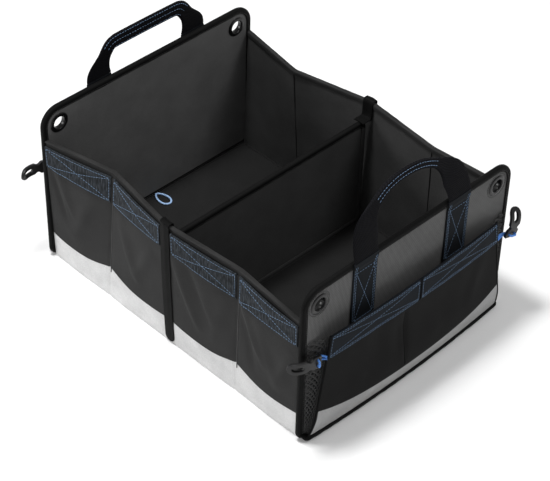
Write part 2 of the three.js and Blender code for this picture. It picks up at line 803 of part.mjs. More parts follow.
// The elastic runs from the pocket corner, out through one hole of the hook's root, across its
// outer face, and back through the other hole. Each point is length, stand-off, half spread, roll.
function hookElastic(end, side, rest) {
  const behind = -(hookThickness + cordDiameter) / 2 - seatGap;
  const front = hookBow - behind;
  const holes = rest.lead + hookRootLength / 2;
  const strand = (u, v, spread, rolled) => {
    const roll = THREE.MathUtils.degToRad(rest.roll) * rolled;
    return new THREE.Vector3(u - spread * Math.sin(roll), v, spread * Math.cos(roll));
  };
  const run = [
    [hookCordStart, 0, hookCordStartSpread, 0],
    [rest.lead * 0.45, behind * 0.8, 2.6, 0.5],
    [holes - 4.5, behind, cordHoleSpread * 0.9, 1],
    [holes, behind * 0.5, cordHoleSpread, 1],
    [holes, front * 0.4, cordHoleSpread, 1],
    [holes, front * 0.92, cordHoleSpread * 0.8, 1],
  ];
  const there = run.map(([u, v, spread, rolled]) => strand(u, v, spread, rolled));
  const back = run.map(([u, v, spread, rolled]) => strand(u, v, -spread, rolled)).reverse();
  const points = [...there, strand(holes, front, 0, 1), ...back];
  const curve = new THREE.CatmullRomCurve3(points, false, 'centripetal');
  const solid = bar(curve, cordDiameter, 6, 20);
  solid.applyMatrix4(hookFrame(end, side, rest.turn));
  return closedSolid(solid);
}

// Floor
function wallInside(x, z) {
  return wallFace(x, z) - wallThickness;
}

function slab(fromX, toX, half, low, thickness) {
  const geometry = new THREE.BoxGeometry(toX - fromX, 2 * half, thickness);
  geometry.translate((fromX + toX) / 2, 0, low + thickness / 2);
  return closedSolid(geometry);
}

const baseHalfWidth = wallInside(-foldFromDivider, baseThickness) - seatGap;
const floorBoardLow = baseThickness + seatGap;
const floorBoardHigh = floorBoardLow + floorBoardThickness;
const floorBoardHalfWidth = baseHalfWidth - floorBoardMargin;
const dividerHalfLength = dividerThickness / 2 + bindingReach;

function floorBoard(end) {
  const near = dividerHalfLength + floorBoardMargin / 2;
  const far = insideEnd - floorBoardMargin;
  const half = floorBoardHalfWidth;
  const shape = new THREE.Shape();
  const radius = floorBoardMargin;
  shape.moveTo(near, -half);
  shape.lineTo(far - radius, -half);
  shape.absarc(far - radius, -half + radius, radius, -Math.PI / 2, 0, false);
  shape.lineTo(far, half - radius);
  shape.absarc(far - radius, half - radius, radius, 0, Math.PI / 2, false);
  shape.lineTo(near, half);
  shape.closePath();
  const depth = floorBoardThickness;
  const geometry = new THREE.ExtrudeGeometry(shape, { depth, bevelEnabled: false, curveSegments: 3 });
  geometry.translate(0, 0, floorBoardLow);
  if (end < 0) {
    geometry.rotateZ(Math.PI);
  }
  return closedSolid(geometry);
}

// The divider stands on the base, between the two floor boards
const dividerWidth = 2 * (wallInside(0, floorBoardLow) - dividerSideGap);
const dividerOutline = (inset) => {
  const [upper, lower] = [dividerCornerRadius, dividerFootRadius];
  return panelOutline(dividerWidth, floorBoardLow, dividerHeight, upper, lower, inset);
};

function divider() {
  const half = dividerThickness / 2;
  return closedSolid(upright(dividerOutline(bindingReach), -half, half));
}

function dividerBinding() {
  return edgeBinding(dividerOutline, -dividerThickness / 2, dividerThickness / 2);
}

// The cord loop lies on the rear floor board, drawn out to a point at its tail
function pullLoop() {
  const half = pullLoopLength / 2;
  const points = steps(0, 2 * Math.PI, 12).slice(0, -1).map((angle) => {
    const toHead = Math.pow((1 + Math.cos(angle)) / 2, pullLoopShape);
    const taper = THREE.MathUtils.lerp(pullLoopTail, 1, toHead);
    const across = (pullLoopWidth / 2) * Math.sin(angle) * taper;
    return new THREE.Vector3(half * Math.cos(angle), across, 0);
  });
  const curve = new THREE.CatmullRomCurve3(points, true);
  const solid = bar(curve, pullLoopDiameter, 6, 15, true);
  const x = -insideEnd + pullLoopFromPanel + half + pullLoopDiameter;
  solid.translate(x, 0, floorBoardHigh + seatGap + pullLoopDiameter / 2);
  return closedSolid(solid);
}

const box = new THREE.Group();

function add(name, geometry, material) {
  const mesh = new THREE.Mesh(geometry, material);
  mesh.name = name;
  box.add(mesh);
}

add('base_board', slab(-insideEnd, insideEnd, baseHalfWidth, 0, baseThickness), finish.wall);
add('divider', divider(), finish.inner);
add('divider_binding', dividerBinding(), finish.binding);
add('rear_floor_board', floorBoard(-1), finish.board);
add('front_floor_board', floorBoard(1), finish.board);
add('pull_loop', pullLoop(), finish.cord);

for (const [sideName, side] of [['near', -1], ['far', 1]]) {
  add(`${sideName}_wall`, sideWall(side), finish.wall);
  add(`${sideName}_rim_binding`, rimBinding(side), finish.binding);
  add(`${sideName}_pale_band`, paleBand(side), finish.pale);
  add(`${sideName}_centre_strap`, centreStrap(side), finish.binding);
  add(`${sideName}_rear_pocket_cloth`, sidePocketCloth(side, -1), finish.wall);
  add(`${sideName}_front_pocket_cloth`, sidePocketCloth(side, 1), finish.wall);
  for (let number = 0; number < seams.length - 1; number += 1) {
    add(`${sideName}_pocket_hem_${number + 1}`, sideHem(side, number), finish.hem);
  }
}

for (const [endName, end, form] of [['rear', -1, rearHandle], ['front', 1, frontHandle]]) {
  add(`${endName}_panel`, endPanel(end), finish.ribbed);
  add(`${endName}_panel_binding`, endBinding(end), finish.binding);
  add(`${endName}_pocket_cloth`, endPocketCloth(end), finish.wall);
  add(`${endName}_pocket_hem`, endHem(end), finish.hem);
  add(`${endName}_pocket_pale_strip`, endPaleStrip(end), finish.pale);
  add(`${endName}_handle`, handleLoop(end, form), finish.webbing);
  for (const [sideName, side] of [['near', -1], ['far', 1]]) {
    const rest = hookRest[`${endName}${sideName === 'near' ? 'Near' : 'Far'}`];
    add(`${endName}_${sideName}_gusset`, gusset(end, side), finish.mesh);
    add(`${endName}_${sideName}_eyelet`, eyelet(end, side), finish.eyelet);
    add(`${endName}_${sideName}_handle_patch`, handlePatch(end, side), finish.webbing);
    add(`${endName}_${sideName}_hook`, hook(end, side, rest), finish.plastic);
    add(`${endName}_${sideName}_elastic`, hookElastic(end, side, rest), finish.cord);
  }
}

export default box;
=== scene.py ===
"""Dresses the car storage box: boards in cloth, pockets, stitching, net, webbing, cords and moulded parts.

Sizes are in millimetres and become metres when a mesh is made. X runs from the rear end panel to
the front one, -Y is the near side wall and Z is up.
"""

import logging
import math
from dataclasses import dataclass, field
from enum import Enum
from typing import Optional, Sequence

import bmesh
import bpy
import numpy as np
from mathutils import Matrix, Vector


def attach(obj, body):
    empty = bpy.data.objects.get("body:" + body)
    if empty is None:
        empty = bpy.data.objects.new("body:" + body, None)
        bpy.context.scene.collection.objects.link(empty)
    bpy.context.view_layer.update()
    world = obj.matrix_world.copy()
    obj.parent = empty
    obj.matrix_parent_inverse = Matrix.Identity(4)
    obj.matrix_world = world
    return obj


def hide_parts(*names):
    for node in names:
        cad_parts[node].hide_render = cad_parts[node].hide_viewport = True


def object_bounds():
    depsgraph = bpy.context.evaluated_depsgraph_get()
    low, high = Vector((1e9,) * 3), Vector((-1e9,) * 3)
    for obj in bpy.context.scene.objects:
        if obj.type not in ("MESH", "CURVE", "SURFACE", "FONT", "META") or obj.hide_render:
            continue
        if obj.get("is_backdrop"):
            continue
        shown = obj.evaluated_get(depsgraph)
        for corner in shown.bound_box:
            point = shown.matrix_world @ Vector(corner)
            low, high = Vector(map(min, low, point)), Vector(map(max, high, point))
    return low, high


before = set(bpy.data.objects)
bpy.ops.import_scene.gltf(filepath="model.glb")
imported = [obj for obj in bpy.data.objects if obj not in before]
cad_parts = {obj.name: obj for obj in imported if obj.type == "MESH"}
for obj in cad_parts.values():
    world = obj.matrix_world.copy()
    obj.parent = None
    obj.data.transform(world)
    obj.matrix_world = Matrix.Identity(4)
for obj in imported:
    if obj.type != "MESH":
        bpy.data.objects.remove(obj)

MM = 0.001
Array = np.ndarray
Piece = bpy.types.Object
Socket = bpy.types.NodeSocket
Material = bpy.types.Material
log = logging.getLogger("storage_box")


class Place(Enum):
    """A named place on the box, which its pieces are named after."""

    @property
    def label(self) -> str:
        """The place's name in node names."""
        return self.name.lower()

    def part(self, name: str) -> str:
        """The name of a piece there."""
        return f"{self.label}_{name}"


class Side(Place):
    """The two side walls."""

    NEAR = -1
    FAR = 1


class End(Place):
    """The two end panels."""

    REAR = -1
    FRONT = 1


class Weave(Enum):
    """How a cloth's threads run."""

    PLAIN = "plain"
    RIB = "rib"
    FLECK = "fleck"
    TWILL = "twill"


class Held(Enum):
    HUNG = "hung"
    FOLDED = "folded"
    STRETCHED = "stretched"


# Colour and material


def linear(colour: str) -> tuple[float, float, float, float]:
    """Turns an sRGB hex colour, such as #3f3f3f, into linear red, green, blue and alpha."""
    parts = [int(colour[i : i + 2], 16) / 255 for i in (1, 3, 5)]
    return (*(p / 12.92 if p <= 0.04045 else ((p + 0.055) / 1.055) ** 2.4 for p in parts), 1.0)


def waves(pitch: float) -> float:
    """The wave texture's scale that repeats once in a pitch in millimetres."""
    return math.pi / (10 * pitch * MM)


def grains(size: float) -> float:
    """The noise texture's scale for grains of a size in millimetres."""
    return 1 / (size * MM)


class Tree:
    """A material's node tree, with one way to add a node."""

    def __init__(self, name: str) -> None:
        """Makes an empty material.

        Args:
            name: the material's name, its common name and how its surface was made.
        """
        self.material = bpy.data.materials.new(name)
        self.material.use_nodes = True
        self.tree = self.material.node_tree
        self.tree.nodes.clear()

    def add(self, kind: str, inputs: Optional[dict] = None, **settings) -> bpy.types.Node:
        """Adds a node with its settings, plain values and links.

        Args:
            kind: the node's type, without its ShaderNode start.
            inputs: input name or number to a value, or to the output that feeds it.
            settings: the node's own properties.

        Returns:
            The node.
        """
        node = self.tree.nodes.new(f"ShaderNode{kind}")
        for key, value in settings.items():
            setattr(node, key, value)
        for key, value in (inputs or {}).items():
            if isinstance(value, Socket):
                self.tree.links.new(value, node.inputs[key])
            else:
                node.inputs[key].default_value = value
        return node

    def coat(self, inputs: dict) -> Material:
        """Closes the tree with one surface shader.

        Args:
            inputs: the surface shader's inputs.

        Returns:
            The finished material.
        """
        shader = self.add("BsdfPrincipled", inputs)
        self.add("OutputMaterial", {"Surface": shader.outputs[0]})
        return self.material


def crossed(tree: Tree, pitch: float, degrees: float, bend: float = 0.0) -> Socket:
    """Draws strands that slant both ways over the cloth's own coordinates.

    Args:
        tree: the tree to add to.
        pitch: the distance between strands, in millimetres.
        degrees: how far they slant.
        bend: how unevenly they run.

    Returns:
        Their height from 0 to 1.
    """
    place = tree.add("UVMap", uv_map="cloth").outputs[0]
    lines = []
    for slant in (degrees, -degrees):
        turn = {"Vector": place, "Rotation": (0, 0, math.radians(slant))}
        turned = tree.add("Mapping", turn).outputs[0]
        wave = {"Vector": turned, "Scale": waves(pitch), "Distortion": bend}
        lines.append(tree.add("TexWave", wave, bands_direction="X").outputs["Fac"])
    return tree.add("Math", {0: lines[0], 1: lines[1]}, operation="MAXIMUM").outputs[0]


@dataclass(frozen=True)
class Finish:
    """A surface finish; each kind says how its material is made."""

    name: str
    colour: str

    def make(self) -> Material:
        """Builds the material."""
        raise NotImplementedError

    def material(self) -> Material:
        """Gives the material, made once."""
        return bpy.data.materials.get(self.name) or self.make()


@dataclass(frozen=True)
class Cloth(Finish):
    """A woven cloth: threads as relief, painted shade in the gaps and painted highlight on the thread tops,
    and slow uneven wear.

    Real threads lie about 0.4 mm apart, too fine to show, so their pitch is drawn coarser.
    """

    # thread: colour of the threads' tops; lighter than colour, it is painted highlight, but the hems' blue
    # flecks are real yarn
    thread: str
    weave: Weave = Weave.PLAIN
    pitch: float = 1.4
    relief: float = 0.12
    roughness: float = 0.85
    shine: float = 0.1
    sheen: float = 0.02
    mottle: float = 0.12

    def threads(self, tree: Tree, place: Socket) -> Socket:
        """Draws the threads as heights from 0 to 1.

        Args:
            tree: the tree to add to.
            place: the cloth's own coordinates, in metres.

        Returns:
            The height.
        """
        across = {"Vector": place, "Scale": waves(self.pitch), "Distortion": 0.3}
        along = {**across, "Scale": waves(self.pitch * 1.15)}
        if self.weave is Weave.TWILL:
            turned = tree.add("Mapping", {"Vector": place, "Rotation": (0, 0, math.radians(27))})
            across["Vector"] = turned.outputs[0]
        warp = tree.add("TexWave", across, bands_direction="X").outputs["Fac"]
        if self.weave is Weave.FLECK:
            drawn = tree.add("Mapping", {"Vector": place, "Scale": (1.0, 0.3, 1.0)}).outputs[0]
            dashes = tree.add("TexNoise", {"Vector": drawn, "Scale": grains(self.pitch)}).outputs["Fac"]
            broken = tree.add("MapRange", {0: dashes, 1: 0.38, 2: 0.62, 3: 0.15, 4: 1.0}).outputs[0]
            return tree.add("Math", {0: warp, 1: broken}, operation="MULTIPLY").outputs[0]
        weft = tree.add("TexWave", along, bands_direction="Y").outputs["Fac"]
        if self.weave in (Weave.RIB, Weave.TWILL):
            low = tree.add("Math", {0: weft, 1: 0.35}, operation="MULTIPLY").outputs[0]
            high = tree.add("Math", {0: warp, 1: 0.65}, operation="MULTIPLY").outputs[0]
            return tree.add("Math", {0: low, 1: high}, operation="ADD").outputs[0]
        return tree.add("Math", {0: warp, 1: weft}, operation="MULTIPLY").outputs[0]

    def make(self) -> Material:
        """Builds the cloth.

        Returns:
            The material.
        """
        tree = Tree(self.name)
        place = tree.add("UVMap", uv_map="cloth").outputs[0]
        height = self.threads(tree, place)
        slow = {"Vector": place, "Scale": grains(45), "Detail": 3.0, "Roughness": 0.6}
        cloud = tree.add("TexNoise", slow).outputs["Fac"]
        lint = tree.add("TexNoise", {"Vector": place, "Scale": grains(2.2), "Detail": 2.0}).outputs["Fac"]
        # Gaps take the cloth's colour and thread tops the thread colour: painted shade and highlight, except
        # the real blue flecks
        shade = {"Factor": height, 6: linear(self.colour), 7: linear(self.thread)}
        painted_weave_shade = tree.add("Mix", shade, data_type="RGBA").outputs[2]
        spread = {0: cloud, 1: 0.3, 2: 0.7, 3: 1 - self.mottle, 4: 1 + self.mottle}
        worn = tree.add("MapRange", spread).outputs[0]
        fuzz = tree.add("MapRange", {0: lint, 1: 0.3, 2: 0.7, 3: 0.93, 4: 1.07}).outputs[0]
        both = tree.add("Math", {0: worn, 1: fuzz}, operation="MULTIPLY").outputs[0]
        colour = tree.add("VectorMath", {0: painted_weave_shade, "Scale": both}, operation="SCALE").outputs[0]
        bend = tree.add("Bump", {"Height": cloud, "Distance": 1.2 * MM, "Strength": 0.25})
        bump = {"Height": height, "Distance": self.relief * MM, "Normal": bend.outputs[0]}
        normal = tree.add("Bump", bump).outputs[0]
        rough = {0: cloud, 1: 0.2, 2: 0.8, 3: self.roughness - 0.06, 4: self.roughness + 0.06}
        coat = {
            "Base Color": colour,
            "Roughness": tree.add("MapRange", rough).outputs[0],
            "IOR": 1.46,
            "Specular IOR Level": self.shine,
            "Sheen Weight": self.sheen,
            "Sheen Roughness": 0.5,
            "Normal": normal,
        }
        return tree.coat(coat)


@dataclass(frozen=True)
class Net(Finish):
    """An open net of crossed threads, clear between them, drawn coarser than the real 3 mm."""

    pitch: float = 5.6
    thread_share: float = 0.42
    roughness: float = 0.85

    def make(self) -> Material:
        """Builds the net.

        Returns:
            The material.
        """
        tree = Tree(self.name)
        top = crossed(tree, self.pitch, 38, 0.2)
        edge = 1 - self.thread_share
        cut = {0: top, 1: edge - 0.08, 2: edge + 0.08, 3: 0.0, 4: 1.0}
        solid = tree.add("MapRange", cut, interpolation_type="SMOOTHSTEP").outputs[0]
        normal = tree.add("Bump", {"Height": top, "Distance": 0.5 * MM}).outputs[0]
        # The threads' low sides are painted near black as shade, their tops in the net's colour
        shade = {"Factor": top, 6: linear("#0c0c0c"), 7: linear(self.colour)}
        colour = tree.add("Mix", shade, data_type="RGBA").outputs[2]
        coat = {
            "Base Color": colour,
            "Roughness": self.roughness,
            "IOR": 1.46,
            "Specular IOR Level": 0.1,
            "Alpha": solid,
            "Normal": normal,
        }
        return tree.coat(coat)


@dataclass(frozen=True)
class Moulded(Finish):
    """A moulded plastic with a fine spark-eroded grain."""

    roughness: float = 0.42
    grain: float = 0.5
    relief: float = 0.03

    def make(self) -> Material:
        """Builds the plastic.

        Returns:
            The material.
        """
        tree = Tree(self.name)
        place = tree.add("TexCoord").outputs["Object"]
        fine = {"Vector": place, "Scale": grains(self.grain), "Detail": 2.0}
        speck = tree.add("TexNoise", fine).outputs["Fac"]
        slow = tree.add("TexNoise", {"Vector": place, "Scale": grains(14)}).outputs["Fac"]
        rough = {0: slow, 1: 0.2, 2: 0.8, 3: self.roughness - 0.05, 4: self.roughness + 0.07}
        tint = {0: speck, 1: 0.3, 2: 0.7, 3: 0.9, 4: 1.1}
        scale = tree.add("MapRange", tint).outputs[0]
        base = {0: linear(self.colour)[:3], "Scale": scale}
        coat = {
            "Base Color": tree.add("VectorMath", base, operation="SCALE").outputs[0],
            "Roughness": tree.add("MapRange", rough).outputs[0],
            "IOR": 1.5,
            "Specular IOR Level": 0.35,
            "Normal": tree.add("Bump", {"Height": speck, "Distance": self.relief * MM}).outputs[0],
        }
        return tree.coat(coat)


@dataclass(frozen=True)
class Braid(Finish):
    """A braided or twisted yarn: crossing strands with painted shade in the gaps between them."""

    # gap: the colour between the strands, painted darker as shade
    gap: str
    pitch: float = 1.6
    relief: float = 0.2
    roughness: float = 0.7

    def make(self) -> Material:
        """Builds the yarn.

        Returns:
            The material.
        """
        tree = Tree(self.name)
        height = crossed(tree, self.pitch, 35)
        # Strand tops take the yarn's colour and the gaps painted shade
        shade = {"Factor": height, 6: linear(self.gap), 7: linear(self.colour)}
        coat = {
            "Base Color": tree.add("Mix", shade, data_type="RGBA").outputs[2],
            "Roughness": self.roughness,
            "IOR": 1.5,
            "Sheen Weight": 0.1,
            "Normal": tree.add("Bump", {"Height": height, "Distance": self.relief * MM}).outputs[0],
        }
        return tree.coat(coat)


@dataclass(frozen=True)
class Backdrop(Finish):
    """A pale studio floor."""

    def make(self) -> Material:
        """Builds the floor's paint."""
        tree = Tree(self.name)
        return tree.coat({"Base Color": linear(self.colour), "Roughness": 0.9, "IOR": 1.45})


# Charcoal polyester, plain woven: the soft dark grey of the near wall's pockets
WALL = Cloth("polyester_plain_woven", "#2a2a2a", "#464646", pitch=1.3)
# Charcoal lining, plain woven: nearly black in the hollow of the box
LINING = Cloth("lining_plain_woven", "#343434", "#545454", pitch=1.5)
# The same lining on the end panels' inner faces, painted lighter to stand in for the light falling there
LINING_PAINTED_LIGHT = Cloth("panel_lining_plain_woven", "#525252", "#828282", pitch=1.5)
# Black cloth of the loose floor boards, plain woven
BOARD = Cloth("board_cloth_plain_woven", "#1c1c1c", "#303030", pitch=1.5)
# Denser black cloth of the end pockets, plain woven: flat and deep
POCKET = Cloth("oxford_plain_woven", "#121212", "#1e1e1e", pitch=1.1, relief=0.1)
# Grey cloth of the end panels, rib woven: fine upright lines that catch the light
RIBBED = Cloth("polyester_rib_woven", "#343434", "#747474", Weave.RIB, 2.4, 0.25, 0.7)
# Cloth of the welts along the folds, plain woven, painted lighter grey as the highlight along the fold's
# ridge
WELT_PAINTED_HIGHLIGHT = Cloth("welt_plain_woven", "#4a4a4a", "#5e5e5e", pitch=1.0)
# Pocket hems, rib woven in black and blue yarn: short upright blue flecks
HEM = Cloth("hem_rib_woven", "#17191b", "#434950", Weave.FLECK, 2.8, 0.25, 0.75)
# End pocket hems, rib woven in near-black navy yarn
END_HEM = Cloth("end_hem_rib_woven", "#0d0f12", "#191e25", Weave.RIB, 1.6, 0.2, 0.8)
# Pale grey foot of the box, rib woven
PALE = Cloth("pale_polyester_rib_woven", "#c6c6c6", "#e2e2e2", Weave.RIB, 2.2, 0.12, 0.7)
# The pale foot cloth along the foot of the end pockets, rib woven, painted darker grey as shade because it
# faces down
PALE_PAINTED_SHADE = Cloth("grey_polyester_rib_woven", "#8e8e8e", "#acacac", Weave.RIB, 2.2, 0.12, 0.7)
# Black edging tape, rib woven: a slight shine along its rounded edge
TAPE = Cloth("edging_tape_rib_woven", "#080808", "#161616", Weave.RIB, 1.6, 0.2, 0.6, 0.06, 0.0)
# Edging tape of the side walls, rib woven in charcoal: a lighter line along the rim
RIM_TAPE = Cloth("rim_tape_rib_woven", "#1c1c1c", "#363636", Weave.RIB, 1.6, 0.2, 0.6, 0.08, 0.02)
# Handle webbing, twill woven: slanting rows of small bumps
WEBBING = Cloth("webbing_twill_woven", "#060608", "#19191c", Weave.TWILL, 2.2, 0.4, 0.7, 0.06, 0.0)
# Sewn handle feet, rib woven in navy-black
PATCH = Cloth("patch_rib_woven", "#0c0e11", "#191d22", Weave.RIB, 1.8, 0.2, 0.8)
# Black net, knotted: clear between its threads
NET = Net("net_warp_knitted", "#3e3e3e")
# Hooks, injection moulded with a satin grain
HOOK = Moulded("nylon_injection_moulded", "#161617")
# Eyelets, injection moulded and smooth: a clear highlight round the ring
EYELET = Moulded("eyelet_injection_moulded", "#0c0c0d", 0.28, 0.4, 0.01)
# Blue elastic, braided over rubber
ELASTIC = Braid("elastic_cord_braided", "#5e9cf0", "#2458a8")
# Pull loop cord, braided in pale blue, with dark blue painted as shade between its strands
LOOP = Braid("loop_cord_braided", "#bcdcff", "#3a72bc", 1.8)
# Light blue sewing thread, twisted
THREAD = Braid("sewing_thread_twisted", "#88a8cc", "#567294", 0.7, 0.08, 0.6)
# Black sewing thread, twisted
DARK_THREAD = Braid("black_thread_twisted", "#2c2c2c", "#141414", 0.7, 0.08, 0.6)
# Studio floor, matt painted in near white: it holds the soft shadow
FLOOR = Backdrop("floor_matt_painted", "#f6f6f6")


# Shapes


def ease(value: Array, low: float, high: float) -> Array:
    """Goes smoothly from 0 at low to 1 at high."""
    share = np.clip((value - low) / (high - low), 0, 1)
    return share * share * (3 - 2 * share)


def unit(vectors: Array) -> Array:
    """Scales vectors to a length of one."""
    return vectors / np.maximum(np.linalg.norm(vectors, axis=-1, keepdims=True), 1e-9)


def lengths(points: Array) -> Array:
    """How far each point lies along its line."""
    return np.concatenate([[0], np.cumsum(np.linalg.norm(np.diff(points, axis=0), axis=1))])


def pick(rows: Array, run: Array, where: Array) -> Array:
    """Values part way along a line whose points lie at run."""
    return np.stack([np.interp(where, run, rows[:, k]) for k in range(rows.shape[1])], -1)


def joined(*parts: Array) -> Array:
    """Sets coordinates side by side, as points."""
    return np.stack(np.broadcast_arrays(*parts), -1)


def circle(count: int) -> Array:
    """Even angles round a circle."""
    return np.linspace(0, 2 * np.pi, count, endpoint=False)


def hump(value: Array, width: float) -> Array:
    """A smooth rise to one round a value of zero."""
    return np.exp(-((value / width) ** 2))


def facing(section: Array) -> Array:
    """Marks the outer run of a section."""
    return np.arange(section.shape[1]) < section.shape[1] // 2


@dataclass(frozen=True)
class Crease:
    """A soft fold in cloth between two points of its surface."""

    start: tuple[float, float]
    end: tuple[float, float]
    width: float
    height: float

    def at(self, a: Array, b: Array) -> Array:
        """The fold's height at points of the cloth.

        Args:
            a: first cloth coordinate.
            b: second cloth coordinate.

        Returns:
            The height, below zero for a valley.
        """
        run = np.subtract(self.end, self.start)
        length = float(np.hypot(*run))
        da, db = a - self.start[0], b - self.start[1]
        along = (da * run[0] + db * run[1]) / length**2
        off = (da * run[1] - db * run[0]) / length
        window = np.sin(np.pi * np.clip(along, 0, 1)) ** 0.7
        return self.height * hump(off, self.width) * window


@dataclass(frozen=True)
class Unevenness:
    """The slow waviness of cloth: a sum of waves with fixed phases."""

    seed: int
    size: float
    height: float

    def at(self, a: Array, b: Array) -> Array:
        """The waviness at points of the cloth.

        Args:
            a: first cloth coordinate.
            b: second cloth coordinate.

        Returns:
            The height.
        """
        rng = np.random.default_rng(self.seed)
        total = 0.0
        for _ in range(6):
            angle, phase = rng.uniform(0, 2 * np.pi, 2)
            turn = 2 * np.pi / (self.size * rng.uniform(0.6, 1.8))
            total = total + np.sin(turn * (a * np.cos(angle) + b * np.sin(angle)) + phase)
        return self.height * total / 3


class Surface:
    """A bent surface that layers of cloth lie on."""

    STEP = 0.5

    def at(self, a: Array, b: Array, out: Array) -> Array:
        """Gives points in the box's frame.

        Args:
            a: distance along the surface.
            b: height on the surface.
            out: distance out from it.

        Returns:
            The points, in millimetres.
        """
        raise NotImplementedError

    def normal(self, a: Array, b: Array) -> Array:
        """The direction out of the surface.

        Args:
            a: distances along the surface.
            b: heights on it.

        Returns:
            A unit vector for each point.
        """
        flat = np.zeros_like(a)
        run = self.at(a + self.STEP, b, flat) - self.at(a - self.STEP, b, flat)
        rise = self.at(a, b + 0.5, flat) - self.at(a, b - 0.5, flat)
        found = unit(np.cross(run, rise))
        outward = self.at(a, b, flat + 1) - self.at(a, b, flat)
        return found * np.sign(np.sum(found * outward, axis=-1, keepdims=True))


def mesh_piece(name: str, points: Array, faces: list, materials: Sequence[Finish]) -> Piece:
    """Makes an object from points in millimetres.

    Args:
        name: the piece's name.
        points: its points.
        faces: its faces, as lists of point numbers.
        materials: its finishes.

    Returns:
        The object, in the scene.
    """
    mesh = bpy.data.meshes.new(name)
    mesh.from_pydata((points * MM).tolist(), [], faces)
    for finish in materials:
        mesh.materials.append(finish.material())
    piece = bpy.data.objects.new(name, mesh)
    bpy.context.scene.collection.objects.link(piece)
    return piece


def loft(
    name: str, rings: Array, cloth: Array, finish: Finish, lining: Optional[Finish] = None,
    closed: bool = False,
) -> Piece:
    """Joins like sections into one closed solid.

    Args:
        name: the piece's name.
        rings: sections of points, an even number in each, its outer run first and then its inner
            run backwards.
        cloth: the cloth coordinates of those points, in millimetres; a closed row has one more.
        finish: the finish of the outer run.
        lining: the finish of the inner run, if it is another.
        closed: whether the last section joins the first.

    Returns:
        The object.
    """
    count, size = rings.shape[:2]
    i = np.arange(count if closed else count - 1)[:, None]
    j = np.arange(size)[None, :]
    k = (j + 1) % size
    after = (i + 1) % count
    faces = joined(i * size + j, i * size + k, after * size + k, after * size + j).reshape(-1, 4)
    places = np.stack(
        [cloth[i, j], cloth[i, k], cloth[i + 1, k], cloth[i + 1, j]], -2
    ).reshape(-1, 4, 2)
    inner = np.broadcast_to(j >= size // 2, (len(i), size)).reshape(-1)
    if not closed:
        r = np.arange(size // 2 - 1)
        first = joined(r + 1, r, size - 1 - r, size - 2 - r)
        last = first[:, ::-1]
        faces = np.concatenate([faces, first, last + (count - 1) * size])
        places = np.concatenate([places, cloth[0][first], cloth[-1][last]])
        inner = np.concatenate([inner, np.zeros(2 * len(r), bool)])
    points = rings.reshape(-1, 3)
    corners = points[faces]
    volume = sum(
        np.sum(corners[:, 0] * np.cross(corners[:, s], corners[:, s + 1])) for s in (1, 2)
    )
    if volume < 0:
        faces, places = faces[:, ::-1], places[:, ::-1]
    piece = mesh_piece(name, points, faces.tolist(), [finish, lining or finish])
    mesh = piece.data
    layer = mesh.uv_layers.new(name="cloth")
    layer.data.foreach_set("uv", (places * MM).astype(np.float32).reshape(-1))
    mesh.polygons.foreach_set("material_index", inner.astype(np.int32))
    mesh.shade_smooth()
    mesh.set_sharp_from_angle(angle=math.radians(48))
    return piece


def lay(
    name: str, surface: Surface, a: Array, b: Array, out: Array, finish: Finish,
    lining: Optional[Finish] = None, scale: float = 1.0,
) -> Piece:
    """Lays a band of cloth along a surface.

    Args:
        name: the piece's name.
        surface: what it lies on.
        a: its stations along the surface.
        b: the heights of its section at each station, outer run first and then its inner run
            backwards.
        out: the section's distances out from the surface.
        finish: the finish of its outer run.
        lining: the finish of its inner run, if it is another.
        scale: millimetres of cloth in one step along the surface.

    Returns:
        The object.
    """
    b = np.broadcast_to(b, (len(a), np.shape(b)[-1]))
    out = np.broadcast_to(out, b.shape)
    rings = surface.at(a[:, None] + 0 * b, b, out)
    cloth = joined(scale * a[:, None], b)
    return loft(name, rings, cloth, finish, lining)


def leaf(low: Array, high: Array, inner: float, outer: float, rows: int) -> tuple[Array, Array]:
    """The section of a plain layer of cloth.

    Args:
        low: its lower edge at each station.
        high: its upper edge at each station.
        inner: where its back lies.
        outer: where its face lies.
        rows: steps up the layer.

    Returns:
        Heights and distances out, for lay().
    """
    share = np.linspace(0, 1, rows + 1)[None, :]
    low, high = np.atleast_1d(low)[:, None], np.atleast_1d(high)[:, None]
    up = low + (high - low) * share
    edge = np.full_like(up, outer)
    edge[:, [0, -1]] = outer - 0.25 * (outer - inner)
    return np.concatenate([up, up[:, ::-1]], 1), np.concatenate([edge, np.full_like(up, inner)], 1)


def hem_section(low: Array, top: Array, profile: Sequence[float]) -> tuple[Array, Array]:
    """The section of a hem that folds over its pocket's edge.

    Args:
        low: its lower edge at each station.
        top: its upper edge at each station.
        profile: how far out its foot, its face, four points over the edge and its back lie.

    Returns:
        Heights and distances out, for lay().
    """
    foot, face, *over, back = profile
    up = low[:, None] + (top - 0.5 - low)[:, None] * np.linspace(0, 1, 15)
    fold = joined(top, top + 0.2, top + 0.2, top - 0.4)
    out = np.full_like(up, face)
    out[:, 0] = foot
    reach = [out, np.broadcast_to(over, fold.shape), np.full_like(up, back)]
    return np.concatenate([up, fold, up[:, ::-1]], 1), np.concatenate(reach, 1)


